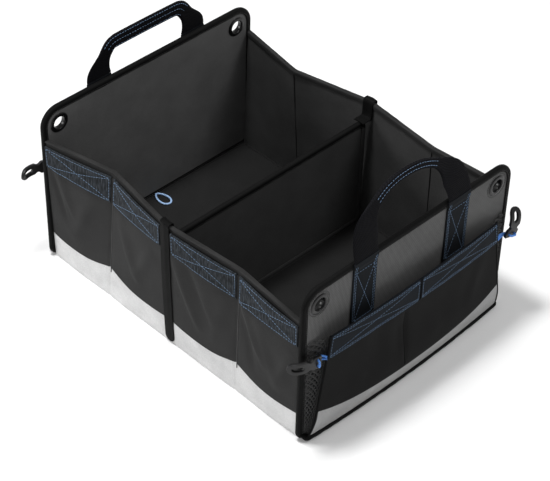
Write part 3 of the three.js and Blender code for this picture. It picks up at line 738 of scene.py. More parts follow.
def tube(
    name: str, points: Array, radius: float, sides: int, finish: Finish, closed: bool = False
) -> Piece:
    """A round cord along points.

    Args:
        name: the piece's name.
        points: its centreline, in millimetres.
        radius: its radius.
        sides: how many sides its section has.
        finish: its finish.
        closed: whether it is a ring.

    Returns:
        The object.
    """
    along = np.roll(points, -1, 0) - np.roll(points, 1, 0)
    if not closed:
        along[0], along[-1] = points[1] - points[0], points[-1] - points[-2]
    along = unit(along)
    side = np.zeros_like(points)
    side[0] = unit(np.cross(along[0], [0.13, 0.2, 0.97]))
    for i in range(1, len(points)):
        side[i] = unit(side[i - 1] - along[i] * np.dot(side[i - 1], along[i]))
    up = np.cross(along, side)
    if closed:
        twist = math.atan2(float(np.dot(side[-1], up[0])), float(np.dot(side[-1], side[0])))
        turn = -twist * np.linspace(0, 1, len(points))[:, None]
        side, up = side * np.cos(turn) + up * np.sin(turn), up * np.cos(turn) - side * np.sin(turn)
    angle = circle(sides)
    ring = np.cos(angle)[None, :, None] * side[:, None] + np.sin(angle)[None, :, None] * up[:, None]
    run = lengths(points)
    if closed:
        run = np.append(run, run[-1] + np.linalg.norm(points[0] - points[-1]))
    cloth = joined(run[:, None], angle[None, :] * radius)
    return loft(name, points[:, None] + radius * ring, cloth, finish, None, closed)


def curve(knots: Sequence[Sequence[float]], count: int, closed: bool = False) -> Array:
    """Even points on a smooth line through knots.

    Args:
        knots: the points it runs through.
        count: how many points to give.
        closed: whether it is a ring.

    Returns:
        The points.
    """
    p = np.asarray(knots, float)
    before, after = (p[-1:], p[:2]) if closed else (2 * p[:1] - p[1:2], 2 * p[-1:] - p[-2:-1])
    p = np.concatenate([before, p, after])
    t = np.linspace(0, 1, 24, endpoint=False)[:, None]
    rows = []
    for q0, q1, q2, q3 in zip(p, p[1:], p[2:], p[3:]):
        bend = (2 * q0 - 5 * q1 + 4 * q2 - q3) * t**2 + (3 * q1 - q0 - 3 * q2 + q3) * t**3
        rows.append(0.5 * (2 * q1 + (q2 - q0) * t + bend))
    dense = np.concatenate([*rows, p[-2:-1]])
    run = lengths(dense)
    return pick(dense, run, np.linspace(0, run[-1], count, endpoint=not closed))


def evened(points: Array, normals: Array, pitch: float) -> tuple[Array, Array, Array]:
    """Splits a line into stitches.

    Args:
        points: the line.
        normals: the direction out of the cloth along it.
        pitch: the length of a stitch and its gap.

    Returns:
        Start and end points, and the normals between them.
    """
    run = lengths(points)
    count = max(int(run[-1] / pitch), 1)
    starts = (np.arange(count) + 0.12) * run[-1] / count
    ends = starts + 0.74 * run[-1] / count
    middles = unit(pick(normals, run, (starts + ends) / 2))
    return pick(points, run, starts), pick(points, run, ends), middles


@dataclass
class Stitching:
    """Rows of stitches, gathered into one mesh."""

    radius: float = 0.32
    pitch: float = 4.6
    rows: list[tuple[Array, Array, Array]] = field(default_factory=list)

    def line(self, points: Array, normals: Array) -> None:
        """Sews along a line in the box's frame."""
        self.rows.append(evened(points, normals, self.pitch))

    def sew(self, surface: Surface, path: Sequence[Sequence[float]], out: float) -> None:
        """Sews along a path on a surface.

        Args:
            surface: the surface.
            path: corners of the path, in the surface's own coordinates.
            out: how far out the cloth's face lies.
        """
        corners = np.asarray(path, float)
        run = lengths(corners)
        a, b = pick(corners, run, np.linspace(0, run[-1], max(int(run[-1] / 3), 3))).T
        self.line(surface.at(a, b, np.full_like(a, out)), surface.normal(a, b))

    def build(self, name: str, finish: Finish) -> Piece:
        """Makes the stitches.

        Args:
            name: the piece's name.
            finish: the thread's finish.

        Returns:
            The object.
        """
        start, end, normal = (np.concatenate([row[k] for row in self.rows]) for k in range(3))
        side = unit(np.cross(end - start, normal))
        middle = (start + end) / 2
        rings = []
        for centre, lift, scale in ((start, -0.5, 0.55), (middle, 0.55, 1.0), (end, -0.5, 0.55)):
            core = centre + normal * self.radius * lift
            for s, n in ((0, 1), (1, 0), (0, -1), (-1, 0)):
                rings.append(core + self.radius * scale * (side * s + normal * n))
        points = np.stack(rings, 1).reshape(-1, 3)
        one = [[3, 2, 1, 0], [8, 9, 10, 11]]
        for r in (0, 4):
            one += [[r + k, r + (k + 1) % 4, r + 4 + (k + 1) % 4, r + 4 + k] for k in range(4)]
        faces = (np.arange(len(start))[:, None, None] * 12 + np.array(one)[None]).reshape(-1, 4)
        piece = mesh_piece(name, points, faces.tolist(), [finish])
        layer = piece.data.uv_layers.new(name="cloth")
        length = np.linalg.norm(end - start, axis=1)
        u = np.stack([np.zeros_like(length), length / 2, length], 1).repeat(4, 1)
        v = np.tile(np.arange(4) * self.radius * 1.6, 3)[None, :]
        cloth = joined(u, v).reshape(-1, 2)
        layer.data.foreach_set("uv", (cloth[faces.reshape(-1)] * MM).astype(np.float32).reshape(-1))
        piece.data.shade_smooth()
        return piece


@dataclass(frozen=True)
class Outline:
    """A board's outline: a rectangle with rounded corners, upright across the box."""

    half: float
    low: float
    high: float
    top_radius: float
    foot_radius: float

    def span(self, y: Array, inset: float = 0.0) -> tuple[Array, Array]:
        """The lowest and highest point of the board at places across it.

        Args:
            y: places across the board.
            inset: how far the outline is drawn in.

        Returns:
            Lower and upper heights.
        """
        found = []
        for radius, edge, sign in ((self.foot_radius, self.low, 1), (self.top_radius, self.high, -1)):
            r = radius - inset
            past = np.clip(np.abs(y) - (self.half - radius), 0, r)
            found.append(edge + sign * (inset + r - np.sqrt(np.maximum(r * r - past * past, 0))))
        return found[0], found[1]

    def around(self, count: int) -> tuple[Array, Array]:
        """Even points round the outline.

        Args:
            count: how many points.

        Returns:
            Points and inward directions, each as Y and Z.
        """
        points, inward = [], []
        foot = (self.low + self.foot_radius, self.foot_radius)
        top = (self.high - self.top_radius, self.top_radius)
        for quarter, (z, radius) in enumerate((foot, top, top, foot)):
            sign = 1 if quarter < 2 else -1
            angle = np.radians(90 * (quarter - 1) + np.linspace(0, 90, 24))
            way = joined(np.cos(angle), np.sin(angle))
            points.append(np.array([sign * (self.half - radius), z]) + radius * way)
            inward.append(-way)
        ring, into = (np.concatenate([*rows, rows[0][:1]]) for rows in (points, inward))
        run = lengths(ring)
        where = np.linspace(0, run[-1], count, endpoint=False)
        return pick(ring, run, where), unit(pick(into, run, where))


@dataclass
class Box:
    """Everything made for the box, and how each piece is tied to the CAD model."""

    made: list[str] = field(default_factory=list)

    def put(self, piece: Piece, slot: str, nodes: Sequence[str] = (), body: str = "box") -> Piece:
        """Ties a piece to its body, hides the CAD solids it stands for and notes its name.

        Args:
            piece: the piece.
            slot: a material slot name; not used.
            nodes: the CAD nodes it stands for.
            body: the CAD body it moves with.

        Returns:
            The piece.
        """
        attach(piece, body)
        if nodes:
            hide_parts(*nodes)
        self.made.append(piece.name)
        log.info("made %s", piece.name)
        return piece

    def sheet(self, piece: Piece, held: Held, rests: Sequence[str], extra: Sequence = ()) -> None:
        """Reads a piece's cloth coordinates and does nothing more with them.

        Args:
            piece: the piece.
            held: how it is held; not used.
            rests: what it lies on or hangs from; not used.
            extra: pieces sewn to it; not used.
        """
        mesh = piece.data
        layer = mesh.uv_layers["cloth"].data
        cloth = np.zeros(len(layer) * 2, np.float32)
        layer.foreach_get("uv", cloth)


# Side walls


@dataclass(frozen=True)
class WallSize:
    """Sizes of a side wall."""

    half_length: float = 256.0
    half_width: float = 198.5
    inside_end: float = 249.2
    foot_inset: float = 7.0
    rim_at_panel: float = 213.0
    rim_at_divider: float = 218.0
    fold: float = 130.0
    rear_depth: float = 24.0
    front_depth: float = 12.0
    board: float = 4.0
    pocket_drop: float = 8.0
    hem_at_ends: float = 35.0
    hem_growth: float = 8.0
    slack: float = 3.4
    band_top: float = 46.0
    band_scallop: float = 4.0
    strap_half: float = 8.8
    strap_foot: float = 2.5
    strap_lift: float = 1.4
    divider_top: float = 192.0
    hem_at_panel: float = 0.6
    hem_at_seam: float = 3.0
    hem_at_strap: float = 11.7
    hem_profile: tuple[float, ...] = (2.7, 3.15, 2.65, 2.05, 0.8, 0.3, 1.9)
    hem_sewing: float = 3.2
    rim_step: float = 1.6
    welt_foot: float = 44.0
    welt_beside: float = 2.0
    welt_radius: float = 0.75
    crease_foot: float = 8.0
    crease_drop: float = 7.0
    crease_radius: float = 0.8


@dataclass(frozen=True)
class WallFace(Surface):
    """The bare face of a side wall, which leans in and twists towards its folds."""

    side: Side
    size: WallSize

    def inset(self, x: Array) -> Array:
        """How far the rim is drawn in, with a slightly rounded fold.

        Args:
            x: places along the wall.

        Returns:
            The depths there.
        """
        s = self.size
        depth = np.where(x < 0, s.rear_depth, s.front_depth)
        reach = np.abs(x)
        rising, falling = reach / s.fold, (s.half_length - reach) / (s.half_length - s.fold)
        return -depth * np.logaddexp(-45 * rising, -45 * falling) / 45

    def rim(self, x: Array) -> Array:
        """The height of the rim."""
        s = self.size
        return s.rim_at_panel + (s.rim_at_divider - s.rim_at_panel) * (1 - np.abs(x) / s.half_length)

    def relief(self, x: Array, z: Array) -> Array:
        """How far the surface stands off the flat board."""
        return 0 * x

    def at(self, a: Array, b: Array, out: Array) -> Array:
        """Gives points of the wall.

        Args:
            a: places along it.
            b: heights.
            out: distances out of its face.

        Returns:
            The points.
        """
        rise = b / self.rim(a)
        face = self.size.half_width - self.size.foot_inset * (1 - rise) - self.inset(a) * rise
        y = self.side.value * (face + out + self.relief(a, b))
        return joined(a, y, b)


class PocketFace(WallFace):
    """The face of the pockets on a side wall: loose cloth between seams, with soft folds."""

    CREASES = (
        Crease((-244, 172), (-214, 84), 5, -3.2),
        Crease((-232, 180), (-196, 100), 6, 3.0),
        Crease((-160, 160), (-205, 60), 12, 3.2),
        Crease((-112, 160), (-60, 62), 11, 3.4),
        Crease((-30, 150), (-74, 70), 10, 3.0),
        Crease((12, 172), (66, 62), 8, 4.6),
        Crease((34, 176), (88, 74), 8, -3.6),
        Crease((60, 166), (92, 50), 12, 1.8),
        Crease((112, 160), (84, 66), 11, 1.4),
        Crease((136, 176), (190, 84), 8, 4.6),
        Crease((140, 150), (170, 56), 8, -3.4),
        Crease((164, 166), (214, 66), 11, 2.4),
        Crease((238, 150), (206, 60), 10, 2.8),
    )
    WAVY = Unevenness(11, 60, 0.35)

    def seams(self) -> Array:
        """Where the cloth is sewn down."""
        s = self.size
        return np.array([-s.inside_end, -s.fold, 0, s.fold, s.inside_end])

    def share(self, x: Array) -> Array:
        """How far each place is from one seam to the next.

        Args:
            x: places along the wall.

        Returns:
            Shares from 0 to 1.
        """
        seams = self.seams()
        number = np.clip(np.searchsorted(seams, x) - 1, 0, len(seams) - 2)
        return np.clip((x - seams[number]) / (seams[number + 1] - seams[number]), 0, 1)

    def relief(self, x: Array, z: Array) -> Array:
        """Slack between the seams, with folds.

        Args:
            x: places along the wall.
            z: heights.

        Returns:
            How far the cloth stands off.
        """
        across = np.sin(np.pi * self.share(x))
        rise = z / self.rim(x)
        loose = self.size.slack * across**0.8 * np.sin(np.pi * (0.08 + 0.72 * np.clip(rise, 0, 1)))
        flip = x if self.side is Side.NEAR else -x
        folds = sum(crease.at(flip, z) for crease in self.CREASES)
        calm = ease(across, 0.0, 0.3)
        return loose + calm * (folds + self.WAVY.at(x, z + 300 * (self.side is Side.FAR)))

    def band_top(self, x: Array) -> Array:
        """The lower edge of the pocket cloth, over the pale band; it rises at each fold."""
        drop = (self.size.band_scallop + 1.5) * np.sin(np.pi * self.share(x)) ** 0.7
        return self.size.band_top + 6.5 * hump(np.abs(x) - self.size.fold, 34) - drop

    def hem_low(self, x: Array) -> Array:
        """The lower edge of the hem, which grows towards the folds."""
        share = self.inset(x) / np.where(x < 0, self.size.rear_depth, self.size.front_depth)
        return self.pocket_top(x) - self.size.hem_at_ends - self.size.hem_growth * share

    def pocket_top(self, x: Array) -> Array:
        """The upper edge of the pockets."""
        return self.rim(x) - self.size.pocket_drop


@dataclass
class SideWall:
    """A side wall with its rim, pockets, hems, pale band and centre strap."""

    side: Side
    box: Box
    size: WallSize = WallSize()

    def __post_init__(self) -> None:
        """Works out its faces."""
        self.name = self.side.part
        self.bare = WallFace(self.side, self.size)
        self.face = PocketFace(self.side, self.size)
        self.pockets: list[Piece] = []

    def stations(self, start: float, end: float, step: float) -> Array:
        """Stations along the wall, with one at each fold.

        Args:
            start: the first station.
            end: the last one.
            step: about how far apart they lie.

        Returns:
            The stations.
        """
        marks = [m for m in (-self.size.fold, 0.0, self.size.fold) if start < m < end]
        ends = [start, *marks, end]
        rows = [np.linspace(p, q, max(int((q - p) / step), 2)) for p, q in zip(ends, ends[1:])]
        return np.unique(np.concatenate(rows))

    def board(self) -> None:
        """The creased wall itself: cloth outside, lining inside."""
        x = self.stations(-self.size.inside_end, self.size.inside_end, 6)
        b, out = leaf(0 * x, self.bare.rim(x) - self.size.rim_step, -self.size.board, 0.0, 30)
        wavy = Unevenness(5 + self.side.value, 75, 0.45).at(x[:, None] + 0 * b, b)
        still = ease(b, 4, 30) * ease(self.bare.rim(x)[:, None] - b, 2, 20)
        out = out + np.where(facing(b), 0, wavy * still - 0.1)
        piece = lay(self.name("wall_cover"), self.bare, x, b, out, WALL, LINING)
        self.box.put(piece, "wall_cloth", [self.name("wall")])
        self.box.sheet(piece, Held.STRETCHED, ["base_board_cover"])

    def rim(self) -> None:
        """The tape folded over the rim, deeper inside than outside."""
        x = self.stations(-self.size.inside_end, self.size.inside_end, 5)
        top = self.bare.rim(x)[:, None]
        back = -self.size.board
        drop_out, drop_in = 2.2, 7.5
        outer = [(drop_out, 1.1), (1.1, 1.4), (0.35, 0.9), (0.0, -0.4), (0.0, back + 0.6), (0.3, back - 0.9)]
        outer += [(1.1, back - 1.5), (2.6, back - 1.6), (5.0, back - 1.6), (drop_in, back - 1.3)]
        inner = [(drop_out, 0.2), (1.6, 0.2), (1.5, 0.1), (1.4, -0.5), (1.4, back + 0.6), (1.5, back)]
        inner += [(1.9, back - 0.2), (3.0, back - 0.3), (5.0, back - 0.3), (drop_in, back - 0.3)]
        section = np.array(outer + inner[::-1])
        b = top - section[None, :, 0]
        ripple = Unevenness(21 + self.side.value, 22, 0.22).at(x[:, None] + 0 * b, b)
        piece = lay(self.name("rim_tape"), self.bare, x, b, section[None, :, 1] + ripple * 0.7, RIM_TAPE)
        self.box.put(piece, "edge_binding", [self.name("rim_binding")])
        self.box.sheet(piece, Held.FOLDED, [self.name("wall_cover")])

    def cloths(self) -> None:
        """The pocket cloth of each compartment."""
        reach, gap = self.size.inside_end, 0.4
        for label, start, end in (("rear", -reach, -gap), ("front", gap, reach)):
            x = self.stations(start, end, 3.2)
            low = self.face.band_top(x) - 0.6
            b, out = leaf(low, self.face.pocket_top(x) - 1.5, 0.3, 1.6, 40)
            groove = 0.9 * hump(np.abs(x) - self.size.fold, 1.6)[:, None]
            turned = 0.35 * hump(b - low[:, None], 2)
            out = out + np.where(facing(b), turned - groove, 0)
            piece = lay(self.name(f"{label}_pocket"), self.face, x, b, out, WALL)
            self.box.put(piece, "wall_cloth", [self.name(f"{label}_pocket_cloth")])
            self.pockets.append(piece)

    def piping(self) -> None:
        """The narrow welt that stands along each fold's seam, and a dark cord of painted shade along each
        inner crease.
        """
        s = self.size
        for label, x in (("rear", -s.fold), ("front", s.fold)):
            top = float(self.face.hem_low(np.array(x))) + 2
            z = np.linspace(s.welt_foot, top, 50)
            points = self.face.at(np.full_like(z, x + s.welt_beside), z, np.full_like(z, 1.7))
            # The welt's lighter grey is painted highlight along the fold
            piece = tube(self.name(f"{label}_fold_welt"), points, s.welt_radius, 8, WELT_PAINTED_HIGHLIGHT)
            self.box.put(piece, "wall_cloth")
            # Along the inner crease, a thin cord of the boards' darker cloth: painted shade of the fold on
            # the lining
            z = np.linspace(s.crease_foot, float(self.bare.rim(np.array(x))) - s.crease_drop, 50)
            points = self.bare.at(np.full_like(z, x), z, np.full_like(z, -s.board - 0.2))
            piece = tube(self.name(f"{label}_inner_fold"), points, s.crease_radius, 8, BOARD)
            self.box.put(piece, "lining_cloth")

    def hems(self) -> None:
        """The four flecked hems, each sewn round its edge and across both ways."""
        s, seams = self.size, self.face.seams()
        sewing, made = Stitching(), []
        for number, (start, end) in enumerate(zip(seams, seams[1:])):
            first = s.hem_at_strap if start == 0 else s.hem_at_seam if number else s.hem_at_panel
            last = s.hem_at_strap if end == 0 else s.hem_at_seam if number < 3 else s.hem_at_panel
            x = np.linspace(start + first, end - last, 44)
            top, low = self.face.pocket_top(x), self.face.hem_low(x)
            b, out = hem_section(low, top, s.hem_profile)
            piece = lay(self.name(f"hem_{number + 1}"), self.face, x, b, out, HEM)
            self.box.put(piece, "hem_cloth", [self.name(f"pocket_hem_{number + 1}")])
            made.append(piece)
            self.sew_hem(sewing, x, top, low)
        for pocket, pair in zip(self.pockets, (made[:2], made[2:])):
            self.box.sheet(pocket, Held.HUNG, [self.name("wall_cover")], pair)
        piece = sewing.build(self.name("hem_stitching"), THREAD)
        self.box.put(piece, "hem_cloth")

    def sew_hem(self, sewing: Stitching, x: Array, top: Array, low: Array) -> None:
        """Sews one hem along its edges and across it both ways.

        Args:
            sewing: the stitches to add to.
            x: stations along the hem.
            top: its upper edge there.
            low: its lower edge there.
        """
        inner, out = slice(1, -1), self.size.hem_sewing
        above, below, beside = 2.2, 2.4, 2.2
        for row in (top - below, low + above):
            sewing.sew(self.face, joined(x[inner], row[inner]), out)
        for k, way in ((0, 1), (-1, -1)):
            a = x[k] + way * beside
            sewing.sew(self.face, [(a, low[k] + 2), (a, top[k] - below)], out)
        share = (x - x[0]) / (x[-1] - x[0])
        for way in (share, 1 - share):
            path = low + 2.6 + (top - low - 5.2) * way
            sewing.sew(self.face, joined(x[inner], path[inner]), out)

    def band(self) -> None:
        """The pale cloth along the foot."""
        x = self.stations(-self.size.inside_end, self.size.inside_end, 3.2)
        b, out = leaf(0 * x + 0.8, self.face.band_top(x) - 0.9, 0.3, 1.5, 10)
        seam = sum(0.9 * hump(x - fold, 1.4) for fold in (-self.size.fold, self.size.fold))
        out = out - np.where(facing(b), seam[:, None], 0)
        piece = lay(self.name("foot_band"), self.face, x, b, out, PALE)
        self.box.put(piece, "pale_band_cloth", [self.name("pale_band")])
        self.box.sheet(piece, Held.STRETCHED, [self.name("wall_cover")])

    # The strap past the rim: rise and distance out of its face, then of its back. The first rows
    # rise from the rim, the others from the divider's top, inside the box.
    OVER_RIM = ((1.4, 3.4, 0.8, 2.3), (3.6, 2.6, 2.8, 1.7), (4.6, 1.0, 3.5, 0.6), (4.9, -1.5, 3.7, -1.5))
    OVER_RIM += ((4.5, -4.6, 3.4, -4.2), (2.8, -6.8, 1.9, -5.8), (-2.0, -7.3, -2.0, -6.0))
    DOWN_INSIDE = ((13.0, -7.3, 13.0, -6.0), (5.0, -7.3, 4.0, -6.0), (2.2, -8.4, 0.9, -8.4))
    DOWN_INSIDE += ((1.6, -12.0, 0.4, -12.0), (1.6, -24.0, 0.4, -24.0))

    def strap(self) -> None:
        """The black strap up the middle, over the rim and down to the divider."""
        s = self.size
        x = s.strap_half * np.sin(np.linspace(-1, 1, 17) * np.pi / 2)
        foot = s.strap_foot + s.strap_half - np.sqrt(np.maximum(s.strap_half**2 - x * x, 0))
        rim = self.bare.rim(x)
        up = foot[:, None] + (rim - 3 - foot)[:, None] * np.linspace(0, 1, 20)
        lift = s.strap_lift * np.sin(np.pi * (up - foot[:, None]) / (rim - foot)[:, None])
        over, down = np.array(self.OVER_RIM), np.array(self.DOWN_INSIDE)
        heights, reach = [up], [3.2 + lift]
        for rise, way in ((0, 1), (2, -1)):
            top = rim[:, None] + over[:, rise]
            inside = s.divider_top + down[:, rise] + 0 * x[:, None]
            out = np.concatenate([over[:, rise + 1], down[:, rise + 1]])
            heights.append(np.concatenate([top, inside], 1)[:, ::way])
            reach.append(np.broadcast_to(out[::way], heights[-1].shape))
        b = np.concatenate([*heights, up[:, ::-1]], 1)
        out = np.concatenate([*reach, (1.9 + lift)[:, ::-1]], 1)
        piece = lay(self.name("strap"), self.bare, x, b, out, TAPE)
        self.box.put(piece, "edge_binding", [self.name("centre_strap")])
        self.box.sheet(piece, Held.HUNG, [self.name("rim_tape")])

    def build(self) -> None:
        """Builds the wall, inside to outside."""
        self.board()
        self.rim()
        self.band()
        self.cloths()
        self.piping()
        self.hems()
        self.strap()


# Boards with a bound edge


@dataclass(frozen=True)
class BoardSize:
    """A board with a bound edge, and how its tape lies."""

    outline: Outline
    middle: float
    thickness: float = 5.0
    tape: float = 9.0
    tape_stand: float = 1.5
    plain_below: float = 0.0


@dataclass
class BoundBoard:
    """A stiff board in cloth, front and back, with a tape folded round its edge and sewn through."""

    label: str
    size: BoardSize
    box: Box
    faces: tuple[Finish, Finish]

    def cover(self, holes: Sequence[tuple[float, float, float]] = ()) -> Piece:
        """The board in its cloth.

        Args:
            holes: Y, Z and radius of each hole through it.

        Returns:
            The piece.
        """
        s, inset = self.size, 1.5
        half = s.outline.half - inset
        y = half * np.sin(np.linspace(-1, 1, 90) * np.pi / 2)
        low, high = s.outline.span(y, inset)
        z = low[:, None] + (high - low)[:, None] * np.linspace(0, 1, 50)
        wavy = Unevenness(len(self.label), 90, 0.3).at(y[:, None] + 0 * z, z)
        rim = np.minimum(z - low[:, None], high[:, None] - z)
        still = ease(np.minimum(rim, half - np.abs(y)[:, None]), 8, 34)
        x_front = s.middle + s.thickness / 2 + wavy * still
        x_back = s.middle - s.thickness / 2 + wavy * still * 0.6
        front, back = (joined(x, y[:, None], z) for x in (x_front, x_back))
        rings = np.concatenate([front, back[:, ::-1]], 1)
        piece = loft(f"{self.label}_cover", rings, rings[..., 1:].copy(), *self.faces)
        for y0, z0, radius in holes:
            self.punch(piece, y0, z0, radius)
        return piece

    def punch(self, piece: Piece, y: float, z: float, radius: float) -> None:
        """Cuts a round hole through the board.

        Args:
            piece: the board in its cloth.
            y: the hole's place across the box.
            z: its height.
            radius: its radius.
        """
        bpy.ops.mesh.primitive_cylinder_add(
            vertices=48,
            radius=radius * MM,
            depth=60 * MM,
            location=(self.size.middle * MM, y * MM, z * MM),
            rotation=(0, math.pi / 2, 0),
        )
        cutter = bpy.context.active_object
        cut = piece.modifiers.new("hole", "BOOLEAN")
        cut.object, cut.operation, cut.solver = cutter, "DIFFERENCE", "EXACT"
        done = piece.evaluated_get(bpy.context.evaluated_depsgraph_get())
        mesh = bpy.data.meshes.new_from_object(done)
        piece.modifiers.clear()
        piece.data = mesh
        bpy.data.objects.remove(cutter)

    def tape(self, seed: int) -> Piece:
        """The tape round the edge, slightly puckered by its stitches.

        Args:
            seed: chooses how it puckers.

        Returns:
            The piece.
        """
        s = self.size
        points, inward = s.outline.around(420)
        stand = s.thickness / 2 + s.tape_stand
        side = [(2.4, stand - 0.1), (5.0, stand + 0.1), (s.tape - 0.8, stand), (s.tape, stand - 0.5)]
        outer = [(0.0, 0.0), (0.15, stand - 2.3), (0.9, stand - 0.9), *side]
        outer = [(inset, -x) for inset, x in outer[:0:-1]] + outer
        slot = s.thickness / 2 + 0.3
        inner = [(1.3, 0.0), (1.3, slot - 1.4), *((inset, slot) for inset in (2.0, 3.0, 5.0, 8.0, s.tape))]
        inner = [(inset, -x) for inset, x in inner[:0:-1]] + inner
        section = np.array(outer + inner[::-1])
        run = circle(len(points))
        rng = np.random.default_rng(seed)
        turns = (9, 17, 31, 53, 71)
        pucker = sum(rng.uniform(0.05, 0.13) * np.sin(k * run + rng.uniform(0, 6)) for k in turns)
        width = 1 + 0.05 * pucker[:, None]
        inset = section[None, :, 0] * width + 0.25 * np.abs(pucker)[:, None]
        x = s.middle + section[None, :, 1] * (1 + 0.06 * pucker[:, None])
        yz = points[:, None] + inset[..., None] * inward[:, None]
        rings = np.concatenate([x[..., None], yz], -1)
        around = lengths(section)
        total = np.linalg.norm(np.roll(points, -1, 0) - points, axis=1).sum()
        along = np.linspace(0, total, len(points) + 1)
        cloth = joined(along[:, None], around[None, :])
        plain = LINING if s.plain_below else None
        piece = loft(f"{self.label}_tape", rings, cloth, TAPE, plain, True)
        for face in piece.data.polygons:
            if face.center.z < s.plain_below * MM:
                face.material_index = 1
        return piece

    def seam(self) -> Piece:
        """The row of black stitches through the tape, on both faces.

        Returns:
            The piece.
        """
        s = self.size
        points, inward = s.outline.around(300)
        points, inward = np.vstack([points, points[:1]]), np.vstack([inward, inward[:1]])
        sewing = Stitching(0.4, 3.6)
        for sign in (-1, 1):
            x = np.full(len(points), s.middle + sign * (s.thickness / 2 + s.tape_stand + 0.1))
            yz = points + (s.tape - 2.2) * inward
            normals = np.tile([float(sign), 0.0, 0.0], (len(points), 1))
            sewing.line(np.column_stack([x, yz]), normals)
        return sewing.build(f"{self.label}_tape_stitching", DARK_THREAD)

    def build(self, slot: str, holes: Sequence[tuple[float, float, float]] = ()) -> None:
        """Builds the board, its tape and its seam.

        Args:
            slot: the slot name of the board's cloth.
            holes: holes through it.
        """
        cover = self.cover(holes)
        self.box.put(cover, slot, [self.label])
        tape = self.box.put(self.tape(len(self.label)), "edge_binding", [f"{self.label}_binding"])
        self.box.put(self.seam(), "edge_binding")
        self.box.sheet(cover, Held.STRETCHED, [tape.name])
        self.box.sheet(tape, Held.FOLDED, [cover.name])


# End panels


@dataclass(frozen=True)
class EndSize:
    """Sizes of an end panel's pocket, eyelets and webbing."""

    face: float = 256.0
    half: float = 200.0
    foot_radius: float = 15.0
    height: float = 261.0
    pocket_top: float = 180.0
    hem: float = 38.0
    half_top: float = 161.0
    half_foot: float = 190.0
    stand: float = 14.0
    bulge: float = 5.0
    belly: float = 6.0
    strip_top: float = 39.0
    strip_ends: float = 17.0
    hem_gap: float = 2.5
    seam: float = -22.5
    eyelet_y: float = 170.0
    eyelet_z: float = 231.0
    webbing: float = 44.0
    spacing: float = 178.0
    patch_foot: float = 157.0
    panel_top_radius: float = 30.0
    eyelet_hole: float = 11.3
    eyelet_sewing: float = 18.5
    hem_profile: tuple[float, ...] = (2.4, 2.9, 2.5, 1.9, 0.6, 0.1, 1.6)
    hem_sewing: float = 2.95
    net_low: float = 3.0
    net_high: float = 174.0
    net_root: float = 191.0
    net_wide: float = 34.0
    patch_step: float = 1.6
    patch_step_low: float = 246.0
    patch_step_high: float = 253.0


@dataclass(frozen=True)
class PanelFace(Surface):
    """The flat outer face of an end panel."""

    end: End
    size: EndSize

    def at(self, a: Array, b: Array, out: Array) -> Array:
        """Points of the face."""
        x = self.end.value * (self.size.face + out)
        return joined(x, a, b)


class EndPocketFace(PanelFace):
    """The bowed cloth of the pocket on an end panel; a runs from -1 to 1 across it."""

    STEP = 0.004

    CREASES = (
        Crease((-138.46, 132), (-96.6, 66), 10, 1.2),
        Crease((-80.5, 138), (-57.96, 58), 12, -0.9),
        Crease((0, 138), (48.3, 60), 12, 1.0),
        Crease((135.24, 134), (106.26, 60), 11, 1.2),
    )
    WAVY = Unevenness(31, 70, 0.5)

    def half(self, z: Array) -> Array:
        """Half the pocket's width."""
        fall = np.clip(1 - z / self.size.pocket_top, 0, 1) ** 1.1
        return self.size.half_top + (self.size.half_foot - self.size.half_top) * fall

    def stand(self, share: Array, z: Array) -> Array:
        """How far the cloth stands off the panel.

        Args:
            share: places across the pocket, from -1 to 1.
            z: heights.

        Returns:
            The distances.
        """
        s = self.size
        belly = s.belly * hump(z - 50, 40)
        bowed = s.stand + (s.bulge + belly) * (1 - share**2)
        y = share * self.half(z)
        loose = ease(1 - np.abs(share), 0, 0.12) * ease(z, 40, 70)
        folds = sum(crease.at(y, z) for crease in self.CREASES)
        tuck = 9.0 * (1 - np.clip(z / 44, 0, 1)) ** 1.6
        open_part = ease(z, 46, 56) * (1 - ease(z, 132, 141))
        groove = -1.6 * hump(y - s.seam, 3) * open_part
        soft = 2.0 * hump(y - s.seam + 9, 14) * ease(z, 50, 90) * (1 - ease(z, 110, 138))
        return bowed - tuck + loose * (folds + self.WAVY.at(y, z)) + groove - soft

    def at(self, a: Array, b: Array, out: Array) -> Array:
        """Points of the cloth."""
        x = self.end.value * (self.size.face + self.stand(a, b) + out)
        return joined(x, a * self.half(b), b)


